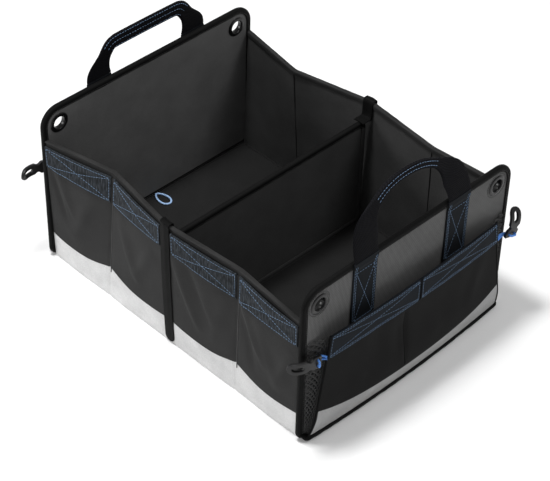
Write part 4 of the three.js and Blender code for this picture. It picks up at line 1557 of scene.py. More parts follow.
@dataclass
class EndPanel:
    """An end panel with its pocket, net gussets, eyelets and sewn handle feet."""

    end: End
    box: Box
    size: EndSize = EndSize()

    def __post_init__(self) -> None:
        """Works out its faces and its outline."""
        s = self.size
        self.name = self.end.part
        self.flat = PanelFace(self.end, s)
        self.face = EndPocketFace(self.end, s)
        self.outline = Outline(s.half, 0, s.height, s.panel_top_radius, s.foot_radius)
        self.sewn: list[Piece] = []

    def board(self) -> None:
        """The panel: ribbed cloth outside, lining inside, in the lining's copy painted lighter as light."""
        s = self.size
        middle = self.end.value * (s.face - 2.5)
        # The inner face takes the lining's copy painted lighter, standing in for light on it
        faces = (RIBBED, LINING_PAINTED_LIGHT) if self.end is End.FRONT else (LINING_PAINTED_LIGHT, RIBBED)
        board = BoundBoard(self.name("panel"), BoardSize(self.outline, middle), self.box, faces)
        holes = [(side.value * s.eyelet_y, s.eyelet_z, s.eyelet_hole) for side in Side]
        board.build("ribbed_cloth", holes)

    def strip_edge(self, share: Array) -> Array:
        """The height where the pocket cloth meets the pale strip, higher at the ends."""
        return self.size.strip_top + self.size.strip_ends * np.abs(share) ** 3

    def lift(self, share: Array) -> Array:
        """How far the pocket's foot rises with the panel's rounded foot corners.

        Args:
            share: places across the pocket, from -1 to 1.

        Returns:
            The rises there.
        """
        radius = self.size.foot_radius
        past = np.clip(np.abs(share) * self.size.half_foot - (self.size.half - radius), 0, radius - 0.1)
        return radius - np.sqrt(radius**2 - past**2)

    def cloth(self) -> Piece:
        """The pocket cloth and the pale strip below it.

        Returns:
            The pocket cloth.
        """
        s = self.size
        share = np.linspace(-1, 1, 120)
        meet = self.strip_edge(share)
        b, out = leaf(meet - 0.8, 0 * share + s.pocket_top - 1.5, 0.0, 1.3, 44)
        out = out + np.where(facing(b), 0.4 * hump(b - meet[:, None], 2), 0)
        piece = lay(self.name("pocket"), self.face, share, b, out, POCKET, scale=s.half_top)
        self.box.put(piece, "wall_cloth", [self.name("pocket_cloth")])
        low = 1.5 + self.lift(share)
        up = (low + 1.3)[:, None] + (meet - low - 1.3)[:, None] * np.linspace(0, 1, 12)
        face = np.full_like(up, 1.3)
        face[:, 0] = 0.9
        stand = self.face.stand(share[:, None] + 0 * up, up)
        under = joined(low, low)
        reach = joined(0.2 - 0.4 * stand[:, 0], 2.1 - stand[:, 0])
        b = np.concatenate([up[:, ::-1], under, under[:, ::-1] + 1.2, up], 1)
        out = np.concatenate([face[:, ::-1], reach, reach[:, ::-1], np.zeros_like(up)], 1)
        # The strip is the pale foot cloth painted darker as shade
        strip = lay(self.name("pale_strip"), self.face, share, b, out, PALE_PAINTED_SHADE, scale=s.half_top)
        self.sewn.append(self.box.put(strip, "pale_band_cloth", [self.name("pocket_pale_strip")]))
        return piece

    def hems(self) -> None:
        """The two hems of the pocket, with their stitching."""
        s = self.size
        sewing = Stitching()
        gap = s.hem_gap / s.half_top
        reach = 1.6 / s.half_top
        for label, start, end in (("near", -1.0, gap - reach), ("far", gap + reach, 1.0)):
            share = np.linspace(start, end, 60)
            top = s.pocket_top + 0 * share
            b, out = hem_section(top - s.hem, top, s.hem_profile)
            piece = lay(self.name(f"{label}_hem"), self.face, share, b, out, END_HEM, scale=s.half_top)
            self.sewn.append(self.box.put(piece, "hem_cloth", [self.name("pocket_hem")]))
            self.sew_hem(sewing, start, end)
        self.box.put(sewing.build(self.name("hem_stitching"), THREAD), "hem_cloth")

    def sew_hem(self, sewing: Stitching, start: float, end: float) -> None:
        """Sews one hem: two rows along its edges, one at its ends, and both diagonals.

        Args:
            sewing: the stitches to add to.
            start: where the hem starts, as a share across the pocket.
            end: where it ends.
        """
        s = self.size
        low, top = s.pocket_top - s.hem, s.pocket_top
        edge = 2.4 / s.half_top
        share = np.linspace(start + edge, end - edge, 50)
        for z in (top - 2.2, top - 5.0, low + 2.0, low + 4.8):
            self.along(sewing, share, 0 * share + z)
        for a in (start + edge, end - edge):
            self.along(sewing, np.full(12, a), np.linspace(low + 2, top - 2.2, 12))
        rise = np.linspace(0, 1, 50)
        self.along(sewing, share, low + 4.8 + (top - low - 9.8) * rise)
        self.along(sewing, share, top - 5.0 - (top - low - 9.8) * rise)

    def along(self, sewing: Stitching, share: Array, z: Array) -> None:
        """Sews a row on the hem's face."""
        out = np.full_like(z, self.size.hem_sewing)
        sewing.line(self.face.at(share, z, out), self.face.normal(share, z))

    # How deep the foot tape's end turns in to the panel, how far sideways and how far up
    TURN = ((2.0, 1.2, 0.5), (5.0, 2.0, 1.5), (9.0, 2.4, 3.0))

    def trim(self) -> None:
        """The black tapes along the pocket's foot, which turns in to the panel, and its sides."""
        s = self.size
        share = np.linspace(-1, 1, 140)
        low = 1.0 + self.lift(share)
        core = self.face.at(share, low + 5, np.full_like(share, 1.2))
        core[:, 2] = low + 4.9
        knots = [*core[::5], core[-1]]
        for k, way in ((0, -1), (-1, 1)):
            bend = [core[k] + [-self.end.value * deep, way * side, rise] for deep, side, rise in self.TURN]
            knots = [*bend[::-1], *knots] if k == 0 else [*knots, *bend]
        core = curve(knots, 190)
        piece = self.flat_tape(self.name("foot_tape"), core, 3.2, 4.6)
        self.sewn.append(self.box.put(piece, "edge_binding"))
        z = np.linspace(s.strip_top + 3, s.pocket_top - s.hem - 3, 60)
        core = self.face.at(s.seam / self.face.half(z), z, np.full_like(z, 1.4))
        self.box.put(tube(self.name("pocket_seam"), core, 0.7, 8, TAPE), "wall_cloth")
        for side in Side:
            z = np.linspace(4, s.pocket_top - 1, 60)
            core = self.face.at(np.full_like(z, float(side.value)), z, np.full_like(z, 0.6))
            label = self.name(f"{side.label}_edge_tape")
            self.sewn.append(self.box.put(self.flat_tape(label, core, 1.7, 1.7), "edge_binding"))

    def flat_tape(self, name: str, core: Array, deep: float, tall: float) -> Piece:
        """A rounded tape.

        Args:
            name: the piece's name.
            core: its middle line.
            deep: half its size out of the panel.
            tall: half its height.

        Returns:
            The piece.
        """
        along = unit(np.gradient(core, axis=0))
        out = np.array([float(self.end.value), 0, 0])
        up = unit(np.cross(along, out))
        out = np.cross(up, along)
        angle = circle(16)
        ripple = Unevenness(41, 26, 0.16).at(core[:, 1], core[:, 2])
        tall = tall * (1 + ripple)[:, None, None]
        ring = deep * np.cos(angle)[None, :, None] * out[:, None]
        ring = ring + tall * np.sin(angle)[None, :, None] * up[:, None]
        cloth = joined(lengths(core)[:, None], angle[None, :] * 3.4)
        return loft(name, core[:, None] + ring, cloth, TAPE)

    def gusset(self, side: Side) -> None:
        """The net between the panel and the pocket's side, folded inwards.

        Args:
            side: the side it closes.
        """
        s, thick, gap = self.size, 0.5, 1.9
        z = np.linspace(s.net_low, s.net_high, 50)
        edge = self.face.stand(np.full_like(z, 1.0), z) - 0.4
        fold = 2 + 14 * (z - s.net_low) / (s.net_high - s.net_low)
        root, lip = np.full_like(z, s.net_root), self.face.half(z) - 0.4
        share = np.linspace(0, 1, 17)
        y = root[:, None] + (lip - root)[:, None] * share - (fold * 0.8)[:, None] * np.sin(np.pi * share)
        x = self.end.value * (s.face + gap + (edge - gap)[:, None] * share)
        front, back = (joined(x, side.value * (y - deep), z[:, None]) for deep in (0, thick))
        rings = np.concatenate([front, back[:, ::-1]], 1)
        wide = np.concatenate([share, share[::-1]]) * s.net_wide
        cloth = joined(wide[None, :], z[:, None])
        piece = loft(self.name(f"{side.label}_net"), rings, cloth, NET)
        self.box.put(piece, "mesh_cloth", [self.name(f"{side.label}_gusset")])
        self.box.sheet(piece, Held.FOLDED, [self.name("panel_cover"), self.name("pocket")])

    def eyelet(self, side: Side) -> None:
        """The pressed ring in a top corner, with a ring of stitches round it at the front.

        Args:
            side: the corner's side.
        """
        s = self.size
        outer = [(9.5, 0), (9.5, 3), (9.9, 4), (10.8, 4.45), (12, 4.4), (13.6, 4.15), (14.9, 3.7)]
        outer += [(15.5, 3.1)]
        inner = [(11, 0), (11, 2), (11, 2.4), (11, 2.6), (12, 2.8), (13, 2.8), (14.4, 2.8), (15.4, 2.8)]
        front = [*outer[:0:-1], *((radius, -out) for radius, out in outer)]
        back = [*inner[:0:-1], *((radius, -out) for radius, out in inner)]
        profile = np.array(front + back[::-1])
        angle = circle(56)
        middle = self.end.value * (s.face - 2.5)
        y = side.value * s.eyelet_y + np.cos(angle)[:, None] * profile[None, :, 0]
        z = s.eyelet_z + np.sin(angle)[:, None] * profile[None, :, 0]
        rings = joined(middle + profile[None, :, 1], y, z)
        cloth = np.zeros((len(angle) + 1, len(profile), 2))
        piece = loft(self.name(f"{side.label}_ring"), rings, cloth, EYELET, None, True)
        self.box.put(piece, "eyelet_plastic", [self.name(f"{side.label}_eyelet")])
        round_it = np.linspace(0, 2 * np.pi, 80)
        sewing = Stitching(0.4, 3.0)
        y = side.value * s.eyelet_y + s.eyelet_sewing * np.cos(round_it)
        z = s.eyelet_z + s.eyelet_sewing * np.sin(round_it)
        sewing.line(self.flat.at(y, z, np.full_like(y, 0.25)), self.flat.normal(y, z))
        piece = sewing.build(self.name(f"{side.label}_ring_stitching"), DARK_THREAD)
        self.box.put(piece, "edge_binding")

    def step(self, z: Array) -> Array:
        """How far a handle's foot steps out over the panel's tape."""
        return self.size.patch_step * ease(z, self.size.patch_step_low, self.size.patch_step_high)

    def patch(self, side: Side, sewing: Stitching) -> None:
        """A sewn-down foot of the handle, which steps out over the panel's tape.

        Args:
            side: the side it lies on.
            sewing: the stitches to add to.
        """
        s, edge = self.size, self.size.webbing / 2
        middle = side.value * s.spacing / 2
        y = middle + np.linspace(-edge, edge, 25)
        below = np.linspace(s.patch_foot, s.patch_step_low, 26)
        z = np.concatenate([below, np.linspace(s.patch_step_low + 2, s.height, 12)])
        lift = self.step(z)
        crown = 0.35 * (1 - (np.abs(y - middle)[:, None] / edge) ** 6)
        face = 2.1 + lift[None, :] + crown
        back = 0.25 + lift[None, :] + 0 * crown
        b = np.concatenate([z, z[::-1]])
        out = np.concatenate([face, back[:, ::-1]], 1)
        piece = lay(self.name(f"{side.label}_patch"), self.flat, y, b, out, PATCH)
        self.box.put(piece, "webbing", [self.name(f"{side.label}_handle_patch")])
        self.box.sheet(piece, Held.STRETCHED, [self.name("panel_cover")])
        z_line = np.linspace(s.patch_foot + 3, s.height - 5, 40)
        for inset in (2.4, 5.2):
            for sign in (-1, 1):
                a = np.full_like(z_line, middle + sign * (edge - inset))
                out = 2.45 + self.step(z_line)
                sewing.line(self.flat.at(a, z_line, out), self.flat.normal(a, z_line))
        wide = np.linspace(middle - edge + 5.2, middle + edge - 5.2, 20)
        level = 2.48 + 0 * wide
        rows = [0 * wide + 243, 0 * wide + 160, np.linspace(160, 243, 20), np.linspace(243, 160, 20)]
        for z_row in rows:
            sewing.line(self.flat.at(wide, z_row, level), self.flat.normal(wide, z_row))

    def build(self) -> None:
        """Builds the panel and all that is sewn to it."""
        self.board()
        pocket = self.cloth()
        self.hems()
        self.trim()
        self.box.sheet(pocket, Held.HUNG, [self.name("panel_cover")], self.sewn)
        sewing = Stitching()
        for side in Side:
            self.gusset(side)
            self.eyelet(side)
            self.patch(side, sewing)
        self.box.put(sewing.build(self.name("patch_stitching"), THREAD), "webbing")


# Handles


@dataclass(frozen=True)
class HandleSize:
    """Form of a handle's free loop."""

    rise: float
    fullness: float
    lean: float
    grip: float
    grip_cloth: float
    grip_rows: tuple[float, ...]
    folds: tuple[float, float] = (0.4, 0.88)
    bends: tuple[tuple[float, float], ...] = ()
    webbing: float = 44.0
    cloth: float = 2.0
    spacing: float = 178.0
    hinge_out: float = 258.8
    hinge_z: float = 262.3


FRONT_HANDLE = HandleSize(rise=78, fullness=2.2, lean=17, grip=13.4, grip_cloth=6.8, grip_rows=(-0.42, 0.42))
REAR_HANDLE = HandleSize(
    rise=49, fullness=3, lean=0, grip=24, grip_cloth=4.4, grip_rows=(-0.7, 0, 0.7), folds=(0.08, 0.7),
    bends=((89, 0), (88.5, 7), (85, 17), (78, 30), (69, 43), (61, 48), (50, 49), (25, 49.3), (0, 49.4)),
)


@dataclass
class Handle:
    """The free loop of a handle: flat webbing at its legs, folded and sewn at its grip."""

    end: End
    box: Box
    size: HandleSize

    def path(self, angle: Array) -> Array:
        """The middle line of the webbing.

        Args:
            angle: angles round the loop, from one leg to the other.

        Returns:
            Points, across and up.
        """
        s = self.size
        power = 2 / s.fullness
        cosine, sine = np.cos(angle), np.maximum(np.sin(angle), 0)
        across = s.spacing / 2 * np.sign(cosine) * np.abs(cosine) ** power
        return joined(across, s.rise * sine**power)

    def frame(self) -> tuple[Array, Array, Array, Array]:
        """Stations along the webbing.

        Returns:
            The middle line, the direction across it, and half its width and thickness.
        """
        s = self.size
        angle = np.linspace(0, np.pi, 110)
        angle = angle + 0.12 * np.sin(2 * angle)
        line = self.path(angle)
        if s.bends:
            line = curve([*s.bends, *((-y, z) for y, z in s.bends[-2::-1])], 110)
        along = unit(np.gradient(line, axis=0))
        along[0], along[-1] = (0, 1), (0, -1)
        across = joined(-along[:, 1], along[:, 0])
        folded = ease(line[:, 1] / s.rise, *s.folds)
        wide = (s.webbing + (s.grip - s.webbing) * folded) / 2
        thick = ease(line[:, 1] / s.rise, 0.4, 0.88)
        deep = (s.cloth + (s.grip_cloth - s.cloth) * thick) / 2
        return line, across, wide, deep

    def place(self, across: Array, rise: Array, out: Array) -> Array:
        """Gives points of the leaning loop.

        Args:
            across: places across the box.
            rise: distances up the loop from its hinge.
            out: distances out of it.

        Returns:
            The points.
        """
        s = self.size
        lean = math.radians(s.lean)
        x = s.hinge_out - math.sin(lean) * rise + math.cos(lean) * out
        z = s.hinge_z + math.cos(lean) * rise + math.sin(lean) * out
        return joined(self.end.value * x, across, z)

    def build(self) -> None:
        """Builds the loop and its rows of stitches."""
        line, across, wide, deep = self.frame()
        t = np.linspace(-1, 1, 15)
        round_off = np.sqrt(np.clip(1 - np.abs(t) ** 8, 0, 1)) * 0.85 + 0.15
        w = np.concatenate([t, t[::-1]])
        d = np.concatenate([round_off, -round_off[::-1]])
        bow = 1.1 * np.sin(np.pi * np.linspace(0, 1, len(line)) * 5) * ease(wide, 14, 22)
        y = line[:, None, 0] + across[:, None, 0] * wide[:, None] * w
        rise = np.maximum(line[:, None, 1] + across[:, None, 1] * wide[:, None] * w, 0)
        calm = ease(line[:, None, 1], 2, 24)
        out = deep[:, None] * d + bow[:, None] * (1 - w**2) * calm
        rings = self.place(y, rise, out)
        cloth = joined(wide[:, None] * w, lengths(line)[:, None])
        label = self.end.label
        piece = loft(f"{label}_loop", rings, cloth, WEBBING)
        self.box.put(piece, "webbing", [f"{label}_handle"], f"{label}_handle")
        self.sew(line, across, wide, deep)
        self.box.sheet(piece, Held.HUNG, [f"{label}_near_patch", f"{label}_far_patch"])

    def sew(self, line: Array, across: Array, wide: Array, deep: Array) -> None:
        """Sews the grip: rows on its outer and inner faces.

        Args:
            line: the middle line.
            across: the direction across it.
            wide: half its width.
            deep: half its thickness.
        """
        s = self.size
        sewing = Stitching()
        grip = line[:, 1] / s.rise > 0.8
        for row in s.grip_rows:
            y = (line[:, 0] + across[:, 0] * wide * row)[grip]
            rise = (line[:, 1] + across[:, 1] * wide * row)[grip]
            for sign in (-1, 1):
                points = self.place(y, rise, sign * (deep[grip] + 0.05))
                ahead = self.place(y, rise, sign * (deep[grip] + 1.05))
                sewing.line(points, unit(ahead - points))
        label = self.end.label
        piece = sewing.build(f"{label}_loop_stitching", THREAD)
        self.box.put(piece, "webbing", (), f"{label}_handle")


# Hooks


@dataclass(frozen=True)
class HookSize:
    """Sizes of a moulded hook and its elastic."""

    length: float = 46.0
    thickness: float = 4.5
    bow: float = 3.0
    lip: float = 9.0
    root: float = 20.0
    neck: float = 12.0
    tab: float = 18.0
    root_length: float = 11.0
    shoulder: float = 6.0
    slot_length: float = 15.0
    slot_height: float = 7.0
    slot_wall: float = 5.0
    cord: float = 3.0
    clearance: float = 1.1
    spread: float = 5.0
    height: float = 146.0
    pivot_gap: float = 3.2
    wrap: float = 17.0
    start: float = -1.4
    start_spread: float = 1.7


@dataclass(frozen=True)
class HookRest:
    """How a hook hangs: turned out from the panel, rolled upright and led out on its cord."""

    end: End
    side: Side
    turn: float
    roll: float = 0.0
    lead: float = 8.0

    @property
    def label(self) -> str:
        """The hook's name in node names."""
        return f"{self.end.label}_{self.side.label}"


HOOKS = (
    HookRest(End.FRONT, Side.NEAR, turn=0),
    HookRest(End.FRONT, Side.FAR, turn=25, roll=80, lead=16),
    HookRest(End.REAR, Side.NEAR, turn=27.1),
    HookRest(End.REAR, Side.FAR, turn=20),
)


@dataclass
class Hook:
    """A moulded hook on its loop of elastic, which comes out of the pocket's corner."""

    rest: HookRest
    face: EndPocketFace
    box: Box
    size: HookSize = HookSize()

    def matrix(self) -> Array:
        """The hook's frame.

        Returns:
            Its directions along, out and up, and where its elastic leaves the pocket, as columns.
        """
        s, end, side = self.size, self.rest.end.value, self.rest.side.value
        wrap, turn = math.radians(s.wrap), math.radians(self.rest.turn)
        along = np.array([-end * math.sin(wrap), side * math.cos(wrap), 0])
        out = np.array([end * math.cos(wrap), side * math.sin(wrap), 0])
        u = along * math.cos(turn) + out * math.sin(turn)
        v = out * math.cos(turn) - along * math.sin(turn)
        half = float(self.face.half(np.array(s.height)))
        depth = self.face.size.face + self.face.size.stand + 1.3
        pivot = [end * depth, side * (half + s.pivot_gap), s.height]
        return np.column_stack([u, v, [0, 0, 1], pivot])

    def outlines(self) -> list[Array]:
        """The hook from its side.

        Returns:
            Rings of points: its edge, its slot and its two cord holes.
        """
        s = self.size

        def arc(u: float, z: float, radius: float, start: float, end: float, count: int) -> Array:
            """Points of an arc."""
            angle = np.radians(np.linspace(start, end, count))
            return joined(u + radius * np.cos(angle), z + radius * np.sin(angle))

        root, neck, tab = s.root / 2, s.neck / 2, s.tab / 2
        waist = s.root_length + s.shoulder
        blend = np.linspace(0, 1, 10)[1:-1]
        lower = [(0.8, -root), (s.root_length, -root)]
        lower += [(s.root_length + s.shoulder * t, -root + (root - neck) * ease(t, 0, 1)) for t in blend]
        lower += [(waist, -neck)]
        lower += [(waist + s.shoulder * t, -neck - (tab - neck) * ease(t, 0, 1)) for t in blend]
        cap = arc(s.length - tab, 0, tab, -90, 90, 25)
        upper = [(u, -z) for u, z in lower[::-1]]
        edge = np.concatenate([np.array([(0, -root + 0.8)]), lower, cap, upper, np.array([(0, root - 0.8)])])
        r = s.slot_height / 2
        far = s.length - s.slot_wall - r
        near = far - s.slot_length + s.slot_height
        slot = np.concatenate([arc(far, 0, r, -90, 90, 14), arc(near, 0, r, 90, 270, 14)])
        bore = s.cord / 2 + s.clearance
        holes = [arc(s.root_length / 2, sign * s.spread, bore, 0, 345, 24) for sign in (-1, 1)]
        return [edge, slot, *holes]

    def plate(self) -> Piece:
        """The flat hook with rounded edges, cut across so that it can be bowed.

        Returns:
            The piece.
        """
        s = self.size
        soften = 0.7
        shape = bpy.data.curves.new(f"{self.rest.label}_clip", "CURVE")
        shape.dimensions, shape.fill_mode = "2D", "BOTH"
        shape.extrude = (s.thickness / 2 - soften) * MM
        shape.bevel_depth, shape.bevel_resolution, shape.offset = soften * MM, 2, -soften * MM
        for ring in self.outlines():
            spline = shape.splines.new("POLY")
            spline.points.add(len(ring) - 1)
            for point, (u, z) in zip(spline.points, ring):
                point.co = (u * MM, z * MM, 0, 1)
            spline.use_cyclic_u = True
        piece = bpy.data.objects.new(f"{self.rest.label}_clip", shape)
        bpy.context.scene.collection.objects.link(piece)
        mesh = bpy.data.meshes.new_from_object(piece.evaluated_get(bpy.context.evaluated_depsgraph_get()))
        bpy.data.objects.remove(piece)
        return self.sliced(mesh)

    def sliced(self, mesh: bpy.types.Mesh) -> Piece:
        """Cuts a flat mesh across at even steps of its length.

        Args:
            mesh: the mesh.

        Returns:
            A piece that holds it.
        """
        form = bmesh.new()
        form.from_mesh(mesh)
        bmesh.ops.remove_doubles(form, verts=form.verts, dist=1e-6)
        for u in np.arange(1.5, self.size.length, 1.5):
            everything = form.verts[:] + form.edges[:] + form.faces[:]
            bmesh.ops.bisect_plane(form, geom=everything, plane_co=(u * MM, 0, 0), plane_no=(1, 0, 0))
        form.to_mesh(mesh)
        form.free()
        piece = bpy.data.objects.new(f"{self.rest.label}_clip", mesh)
        bpy.context.scene.collection.objects.link(piece)
        mesh.materials.clear()
        mesh.materials.append(HOOK.material())
        return piece

    def bend(self, piece: Piece) -> None:
        """Bows the plate, turns its lip in, and sets it where the hook hangs.

        Args:
            piece: the plate.
        """
        s, mesh = self.size, piece.data
        flat = np.zeros(len(mesh.vertices) * 3)
        mesh.vertices.foreach_get("co", flat)
        u, z, v = (flat.reshape(-1, 3) / MM).T
        knots = np.array([(-0.02, 0), (0.3, s.bow * 0.8), (0.6, s.bow), (0.82, 0), (1, s.bow - s.lip)])
        spine = curve(knots * np.array([s.length, 1]), 60)
        bow = np.interp(u, spine[:, 0], spine[:, 1])
        slope = np.interp(u, spine[:, 0], np.gradient(spine[:, 1], spine[:, 0]))
        tilt = np.arctan(slope)
        along = u - v * np.sin(tilt) - s.root_length / 2
        out = bow + v * np.cos(tilt)
        roll = math.radians(self.rest.roll)
        turned = along * math.cos(roll) - z * math.sin(roll)
        up = along * math.sin(roll) + z * math.cos(roll)
        local = joined(turned + s.root_length / 2 + self.rest.lead, out, up)
        frame_of = self.matrix()
        points = local @ frame_of[:, :3].T + frame_of[:, 3]
        mesh.vertices.foreach_set("co", (points * MM).reshape(-1))
        mesh.shade_smooth()
        mesh.set_sharp_from_angle(angle=math.radians(40))
        mesh.update()

    def elastic(self) -> None:
        """The elastic: out through one hole, across the hook's face and back through the other."""
        s, rest = self.size, self.rest
        behind = -(s.thickness + s.cord) / 2 - 0.3
        front = s.bow - behind
        holes = rest.lead + s.root_length / 2
        run = [
            (s.start, 0, s.start_spread, 0),
            (rest.lead * 0.45, behind * 0.8, 2.6, 0.5),
            (holes - 4.5, behind, s.spread * 0.9, 1),
            (holes, behind * 0.5, s.spread, 1),
            (holes, front * 0.4, s.spread, 1),
            (holes, front * 0.92, s.spread * 0.8, 1),
        ]

        def strand(u: float, v: float, spread: float, rolled: float) -> tuple[float, float, float]:
            """A point of the elastic in the hook's frame."""
            roll = math.radians(rest.roll) * rolled
            return (u - spread * math.sin(roll), v, spread * math.cos(roll))

        knots = [strand(*p) for p in run] + [strand(holes, front, 0, 1)]
        knots += [strand(u, v, -spread, rolled) for u, v, spread, rolled in run[::-1]]
        frame_of = self.matrix()
        points = curve(knots, 90) @ frame_of[:, :3].T + frame_of[:, 3]
        piece = tube(f"{rest.label}_elastic_cord", points, s.cord / 2, 14, ELASTIC)
        self.box.put(piece, "elastic_cord", [f"{rest.label}_elastic"], f"{rest.label}_hook")

    def build(self) -> None:
        """Builds the hook and its elastic."""
        piece = self.plate()
        self.bend(piece)
        self.box.put(piece, "moulded_plastic", [f"{self.rest.label}_hook"], f"{self.rest.label}_hook")
        self.elastic()


# Floor of the box


@dataclass(frozen=True)
class SlabSize:
    """A board that lies flat."""

    label: str
    start: float
    end: float
    half: float
    low: float
    thickness: float = 3.0


@dataclass(frozen=True)
class FloorSize:
    """Sizes of the floor, the divider and the pull loop."""

    inside_end: float = 249.2
    base_half: float = 187.0
    board_start: float = 6.0
    board_end: float = 245.2
    board_half: float = 183.0
    board_low: float = 3.3
    divider: Outline = Outline(186.1, 3.3, 192.0, 14.0, 11.0)
    divider_plain_below: float = 180.0
    loop_half_length: float = 15.0
    loop_half_width: float = 10.0
    loop_gap: float = 4.0
    cord_radius: float = 1.5
    cord_height: float = 8.1
    seam_end: float = 247.2
    seam_side: float = 185.2
    seam_height: float = 4.9


@dataclass
class Floor:
    """The base board, the two loose floor boards, the divider and the pull loop."""

    box: Box
    size: FloorSize = FloorSize()

    def slab(self, size: SlabSize, finish: Finish, slot: str, rests: str) -> Piece:
        """A board in cloth with soft edges, very slightly uneven.

        Args:
            size: its sizes.
            finish: its cloth.
            slot: the record's slot.
            rests: what holds its cloth.

        Returns:
            The piece.
        """
        x = np.linspace(size.start, size.end, 60)
        y = np.linspace(-size.half, size.half, 70)
        gx, gy = np.meshgrid(x, y, indexing="ij")
        near = np.minimum.reduce([gx - size.start, size.end - gx, gy + size.half, size.half - gy])
        edge = 0.5 * (1 - ease(near, 0, 4))
        wavy = Unevenness(len(size.label), 80, 0.3).at(gx, gy) * ease(near, 6, 40)
        top = joined(gx, gy, size.low + size.thickness - edge + wavy * 0.8)
        foot = joined(gx, gy, size.low)
        rings = np.concatenate([top, foot[:, ::-1]], 1)
        piece = loft(f"{size.label}_cover", rings, rings[..., :2].copy(), finish)
        self.box.put(piece, slot, [size.label])
        self.box.sheet(piece, Held.STRETCHED, [rests])
        return piece

    def loop(self) -> None:
        """The pull loop: a cord drawn to a point at its tail, lying on the rear board."""
        s = self.size
        half, wide = s.loop_half_length, s.loop_half_width
        angle = circle(14)
        taper = 0.5 + 0.5 * ((1 + np.cos(angle)) / 2) ** 0.6
        knots = joined(half * np.cos(angle), wide * np.sin(angle) * taper, 0)
        points = curve(knots, 90, True) + np.array([s.loop_gap + half - s.inside_end, 0, s.cord_height])
        piece = tube("pull_cord", points, s.cord_radius, 14, LOOP, True)
        self.box.put(piece, "elastic_cord", ["pull_loop"])

    def welts(self) -> None:
        """The sewn seams along the foot of each wall and panel, inside."""
        s = self.size
        wide, high = s.seam_side + 0.3, s.seam_height
        for end in End:
            x = end.value * s.seam_end
            points = np.linspace((x, -wide, high), (x, wide, high), 60)
            self.box.put(tube(f"{end.label}_floor_seam", points, 1.5, 8, BOARD), "lining_cloth")
        for side in Side:
            y, long = side.value * s.seam_side, s.seam_end - 1.2
            points = np.linspace((-long, y, high), (long, y, high), 80)
            self.box.put(tube(f"{side.label}_floor_seam", points, 1.5, 8, BOARD), "lining_cloth")

    def build(self) -> None:
        """Builds the floor and the divider."""
        s = self.size
        under = SlabSize("base_board", -s.inside_end, s.inside_end, s.base_half, 0.0)
        base = self.slab(under, WALL, "wall_cloth", "base_board")
        rear, front = (-s.board_end, -s.board_start), (s.board_start, s.board_end)
        for label, ends in (("rear", rear), ("front", front)):
            size = SlabSize(f"{label}_floor_board", *ends, s.board_half, s.board_low)
            self.slab(size, BOARD, "floor_board_cloth", base.name)
        size = BoardSize(s.divider, 0.0, plain_below=s.divider_plain_below)
        BoundBoard("divider", size, self.box, (LINING, LINING)).build("lining_cloth")
        self.loop()
        self.welts()


# Studio


@dataclass(frozen=True)
class CameraFit:
    """The camera fitted to the photo: angles in degrees, lengths in millimetres."""

    azimuth: float = 44.436
    elevation: float = 41.188
    roll: float = 1.56
    distance: float = 2680.411
    across: float = 5.544
    up: float = -21.925
    focal: float = 1896.249
    frame_width: float = 550.0
    target_height: float = 100.0


@dataclass(frozen=True)
class SoftLight:
    """A square light: its place and width in metres and its power in watts."""

    name: str
    place: tuple[float, float, float]
    width: float
    power: float


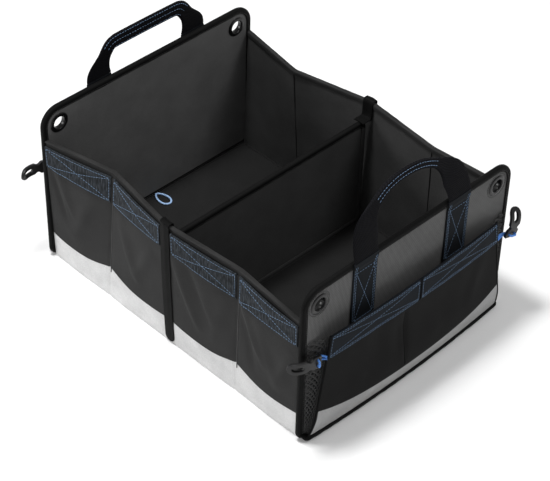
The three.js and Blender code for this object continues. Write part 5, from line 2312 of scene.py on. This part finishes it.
class Studio:
    """Camera, lights and a pale floor."""

    AMBIENT = 0.35
    FLOOR_REACH = 6000.0
    LIGHTS = (
        SoftLight("key", (-0.3, -0.4, 2.6), 0.4, 48),
        SoftLight("side_fill", (-1.5, -1.6, 1.0), 0.8, 19),
        SoftLight("far_fill", (1.5, 0.9, 2.4), 1.0, 22),
    )

    def camera(self, fit: CameraFit = CameraFit()) -> None:
        """Sets the camera where the photo was taken from.

        Args:
            fit: its place and turn.
        """
        a, e, r = (math.radians(v) for v in (fit.azimuth, fit.elevation, fit.roll))
        back = Vector((math.sin(a) * math.cos(e), -math.cos(a) * math.cos(e), math.sin(e)))
        right = Vector((math.cos(a), math.sin(a), 0))
        up = back.cross(right)
        turned_right = right * math.cos(r) + up * math.sin(r)
        turned_up = up * math.cos(r) - right * math.sin(r)
        place = back * fit.distance + turned_right * fit.across + turned_up * fit.up
        place += Vector((0, 0, fit.target_height))
        data = bpy.data.cameras.new("photo_camera")
        data.sensor_width = 36.0
        data.lens = fit.focal / fit.frame_width * data.sensor_width
        data.clip_end = 50.0
        camera = bpy.data.objects.new("photo_camera", data)
        bpy.context.scene.collection.objects.link(camera)
        turn = Matrix((turned_right, turned_up, back)).transposed()
        camera.matrix_world = Matrix.Translation(place * MM) @ turn.to_4x4()
        bpy.context.scene.camera = camera

    def light(self, soft: SoftLight) -> None:
        """Sets up a light that faces the box.

        Args:
            soft: the light.
        """
        data = bpy.data.lights.new(soft.name, "AREA")
        data.size, data.energy = soft.width, soft.power
        lamp = bpy.data.objects.new(soft.name, data)
        lamp.location = soft.place
        aim = Vector((0, 0, 0.1)) - Vector(soft.place)
        lamp.rotation_euler = aim.to_track_quat("-Z", "Y").to_euler()
        bpy.context.scene.collection.objects.link(lamp)

    def build(self) -> None:
        """Sets up the studio."""
        self.camera()
        scene = bpy.context.scene
        scene.view_settings.view_transform = "Standard"
        world = bpy.data.worlds.new("studio")
        world.use_nodes = True
        sky = world.node_tree.nodes["Background"].inputs
        sky["Color"].default_value = (1, 1, 1, 1)
        sky["Strength"].default_value = self.AMBIENT
        scene.world = world
        for soft in self.LIGHTS:
            self.light(soft)
        ring = ((-1, -1), (1, -1), (1, 1), (-1, 1))
        points = np.array([(self.FLOOR_REACH * x, self.FLOOR_REACH * y, -0.2) for x, y in ring])
        floor = mesh_piece("studio_floor", points, [[0, 1, 2, 3]], [FLOOR])
        floor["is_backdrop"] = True


def corners(found: tuple[Vector, Vector]) -> list[list[float]]:
    """Turns two corners into plain lists."""
    return [[float(v) for v in corner] for corner in found]


def main(bare: list[list[float]]) -> None:
    """Builds the box in order.

    Args:
        bare: the corners of the plain CAD model; not used.
    """
    logging.basicConfig(level=logging.INFO, format="%(name)s: %(message)s")
    box = Box()
    Floor(box).build()
    for side in Side:
        SideWall(side, box).build()
    panels = {}
    for end in End:
        panels[end] = EndPanel(end, box)
        panels[end].build()
    Handle(End.FRONT, box, FRONT_HANDLE).build()
    Handle(End.REAR, box, REAR_HANDLE).build()
    for rest in HOOKS:
        Hook(rest, panels[rest.end].face, box).build()
    Studio().build()
    log.info("%d pieces", len(box.made))


if __name__ == "__main__":
    main(corners(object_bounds()))
